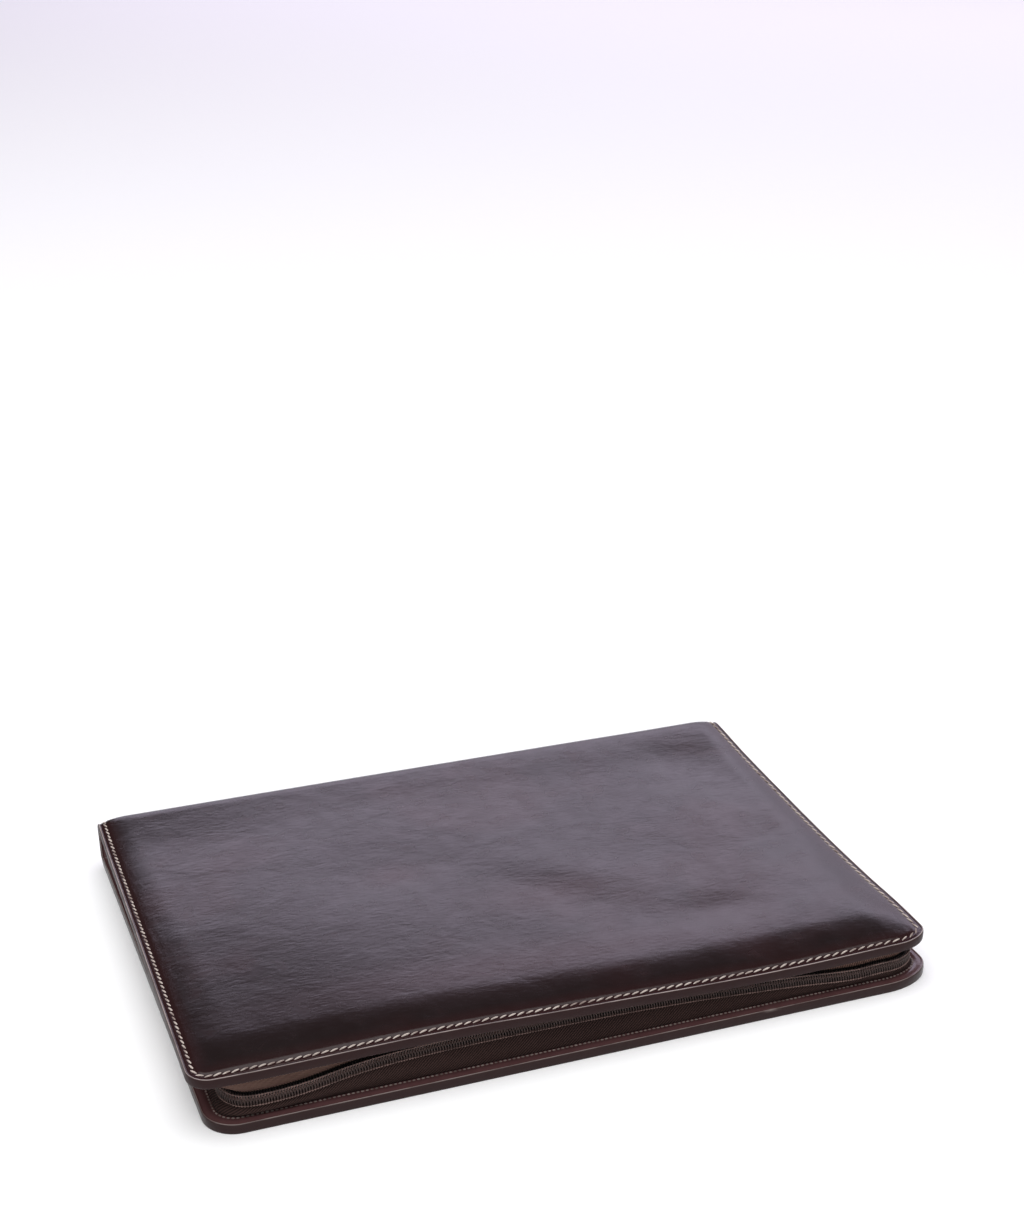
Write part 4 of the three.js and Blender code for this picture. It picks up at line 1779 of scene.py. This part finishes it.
@dataclass
class Studio:
    """Floor, lights and camera of the photograph."""

    camera_place: Triple = (-0.2818, -0.80325, 0.5294)
    pitch: float = 66.863
    yaw: float = -19.785
    focal_pixels: float = 1987.3
    long_side: float = 1229.0
    floor_size: float = 40.0
    violet: Colour = (1.0, 0.90, 1.12)
    surroundings: Colour = (0.9, 0.93, 1.0)
    surroundings_glow: float = 0.09

    def build(self) -> None:
        """Set everything up."""
        self._camera()
        self._floor()
        self._world()
        self._panel("back_panel", (38, 13.5), (74, 21), 5.0, 1.1, self.violet)
        self._panel("back_panel_top", (37.5, 28.5), (75, 9), 5.0, 3.1, self.violet)
        self._panel("front_fill", (-170, 20), (60, 16), 4.0, 1.8)
        self._panel("top_light", (-140, 76), (68, 66), 3.4, 2.8)
        view = bpy.context.scene.view_settings
        view.view_transform = "Standard"
        view.look = "None"

    def _camera(self) -> None:
        """The photograph's camera, fitted to the case's corners and edges."""
        data = bpy.data.cameras.new("camera")
        data.sensor_width = 36.0
        data.sensor_fit = "AUTO"
        data.lens = self.focal_pixels / self.long_side * data.sensor_width
        data.clip_end = 100.0
        camera = bpy.data.objects.new("camera", data)
        camera.location = self.camera_place
        camera.rotation_euler = (math.radians(self.pitch), 0, math.radians(self.yaw))
        bpy.context.collection.objects.link(camera)
        bpy.context.scene.camera = camera

    def _floor(self) -> None:
        """A large sheet of white paper."""
        start_clean()
        bpy.ops.mesh.primitive_plane_add(size=self.floor_size, location=(0, 0, 0))
        floor = bpy.context.object
        floor.name = "floor"
        floor.data.materials.append(StudioFloor().make())

    def _world(self) -> None:
        """Dim surroundings."""
        world = bpy.data.worlds.new("studio")
        bpy.context.scene.world = world
        world.use_nodes = True
        background = world.node_tree.nodes["Background"]
        background.inputs["Color"].default_value = (*self.surroundings, 1)
        background.inputs["Strength"].default_value = self.surroundings_glow

    def _panel(
        self,
        name: str,
        towards: tuple[float, float],
        spread: tuple[float, float],
        away: float,
        radiance: float,
        colour: Colour = (1.0, 1.0, 1.0),
    ) -> None:
        """A soft rectangular light that faces the case.

        Args:
            name: its name.
            towards: azimuth from +Y towards +X, and elevation, of its middle in degrees.
            spread: the angles that it spans across and up, in degrees.
            away: its distance.
            radiance: its brightness.
            colour: its tint.
        """
        azimuth, elevation = (math.radians(angle) for angle in towards)
        flat = math.cos(elevation)
        way = Vector((math.sin(azimuth) * flat, math.cos(azimuth) * flat, math.sin(elevation)))
        light = bpy.data.lights.new(name, "AREA")
        light.shape = "RECTANGLE"
        light.color = colour
        light.size, light.size_y = (2 * away * math.tan(math.radians(angle) / 2) for angle in spread)
        light.energy = radiance * light.size * light.size_y * math.pi
        lamp = bpy.data.objects.new(name, light)
        lamp.location = way * away
        lamp.rotation_euler = way.to_track_quat("Z", "Y").to_euler()
        bpy.context.collection.objects.link(lamp)


def main() -> None:
    """Build the studio and every piece of the case."""
    Studio().build()
    form = CaseForm(*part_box("leather_cover"))
    cover = LeatherCover(form)
    cover.build(GlazedLeather().make())
    thread = WaxedThread().make()
    seam_thread = WaxedThread("seam_thread", pale=(0.24, 0.19, 0.17), soiled=(0.10, 0.07, 0.06)).make()
    CoverStitching(cover).build(thread, seam_thread)
    zip_form = ZipForm(form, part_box("zip_tape_lower")[1].y)
    twill = GussetTwill("gusset_twill").make()
    # The upper tape: a finer, straighter weave, with its colours raised several times over the gusset's as
    # painted light where the upper cover's overhang shades it
    painted_light_tape = GussetTwill(
        "zip_tape_weave_painted_light", dark=(0.030, 0.016, 0.012), light=(0.21, 0.12, 0.095), pitch=0.0012, slant=0.1
    ).make()
    nylon = CoilNylon().make()
    coil_thread = WaxedThread("coil_thread", pale=(0.190, 0.120, 0.105), soiled=(0.090, 0.055, 0.048)).make()
    for half, cloth in ((Half.UPPER, painted_light_tape), (Half.LOWER, twill)):
        GussetTape(zip_form, half).build(cloth)
        coil = ZipCoil(zip_form, half)
        coil.build(nylon)
        name = f"coil_sewing_{half.name.lower()}"
        sewing = StitchRow(name, pitch=coil.pitch, length=0.00125, width=0.0006, height=0.0005, lean=0)
        sewing.build([coil.sewing()], coil_thread, "gusset_cloth")
    ZipSlider().build(BronzedMetal().make())
    tab_leather = TabLeather().make()
    for side in Side:
        EndTab(form, side).build(tab_leather)


if __name__ == "__main__":
    main()
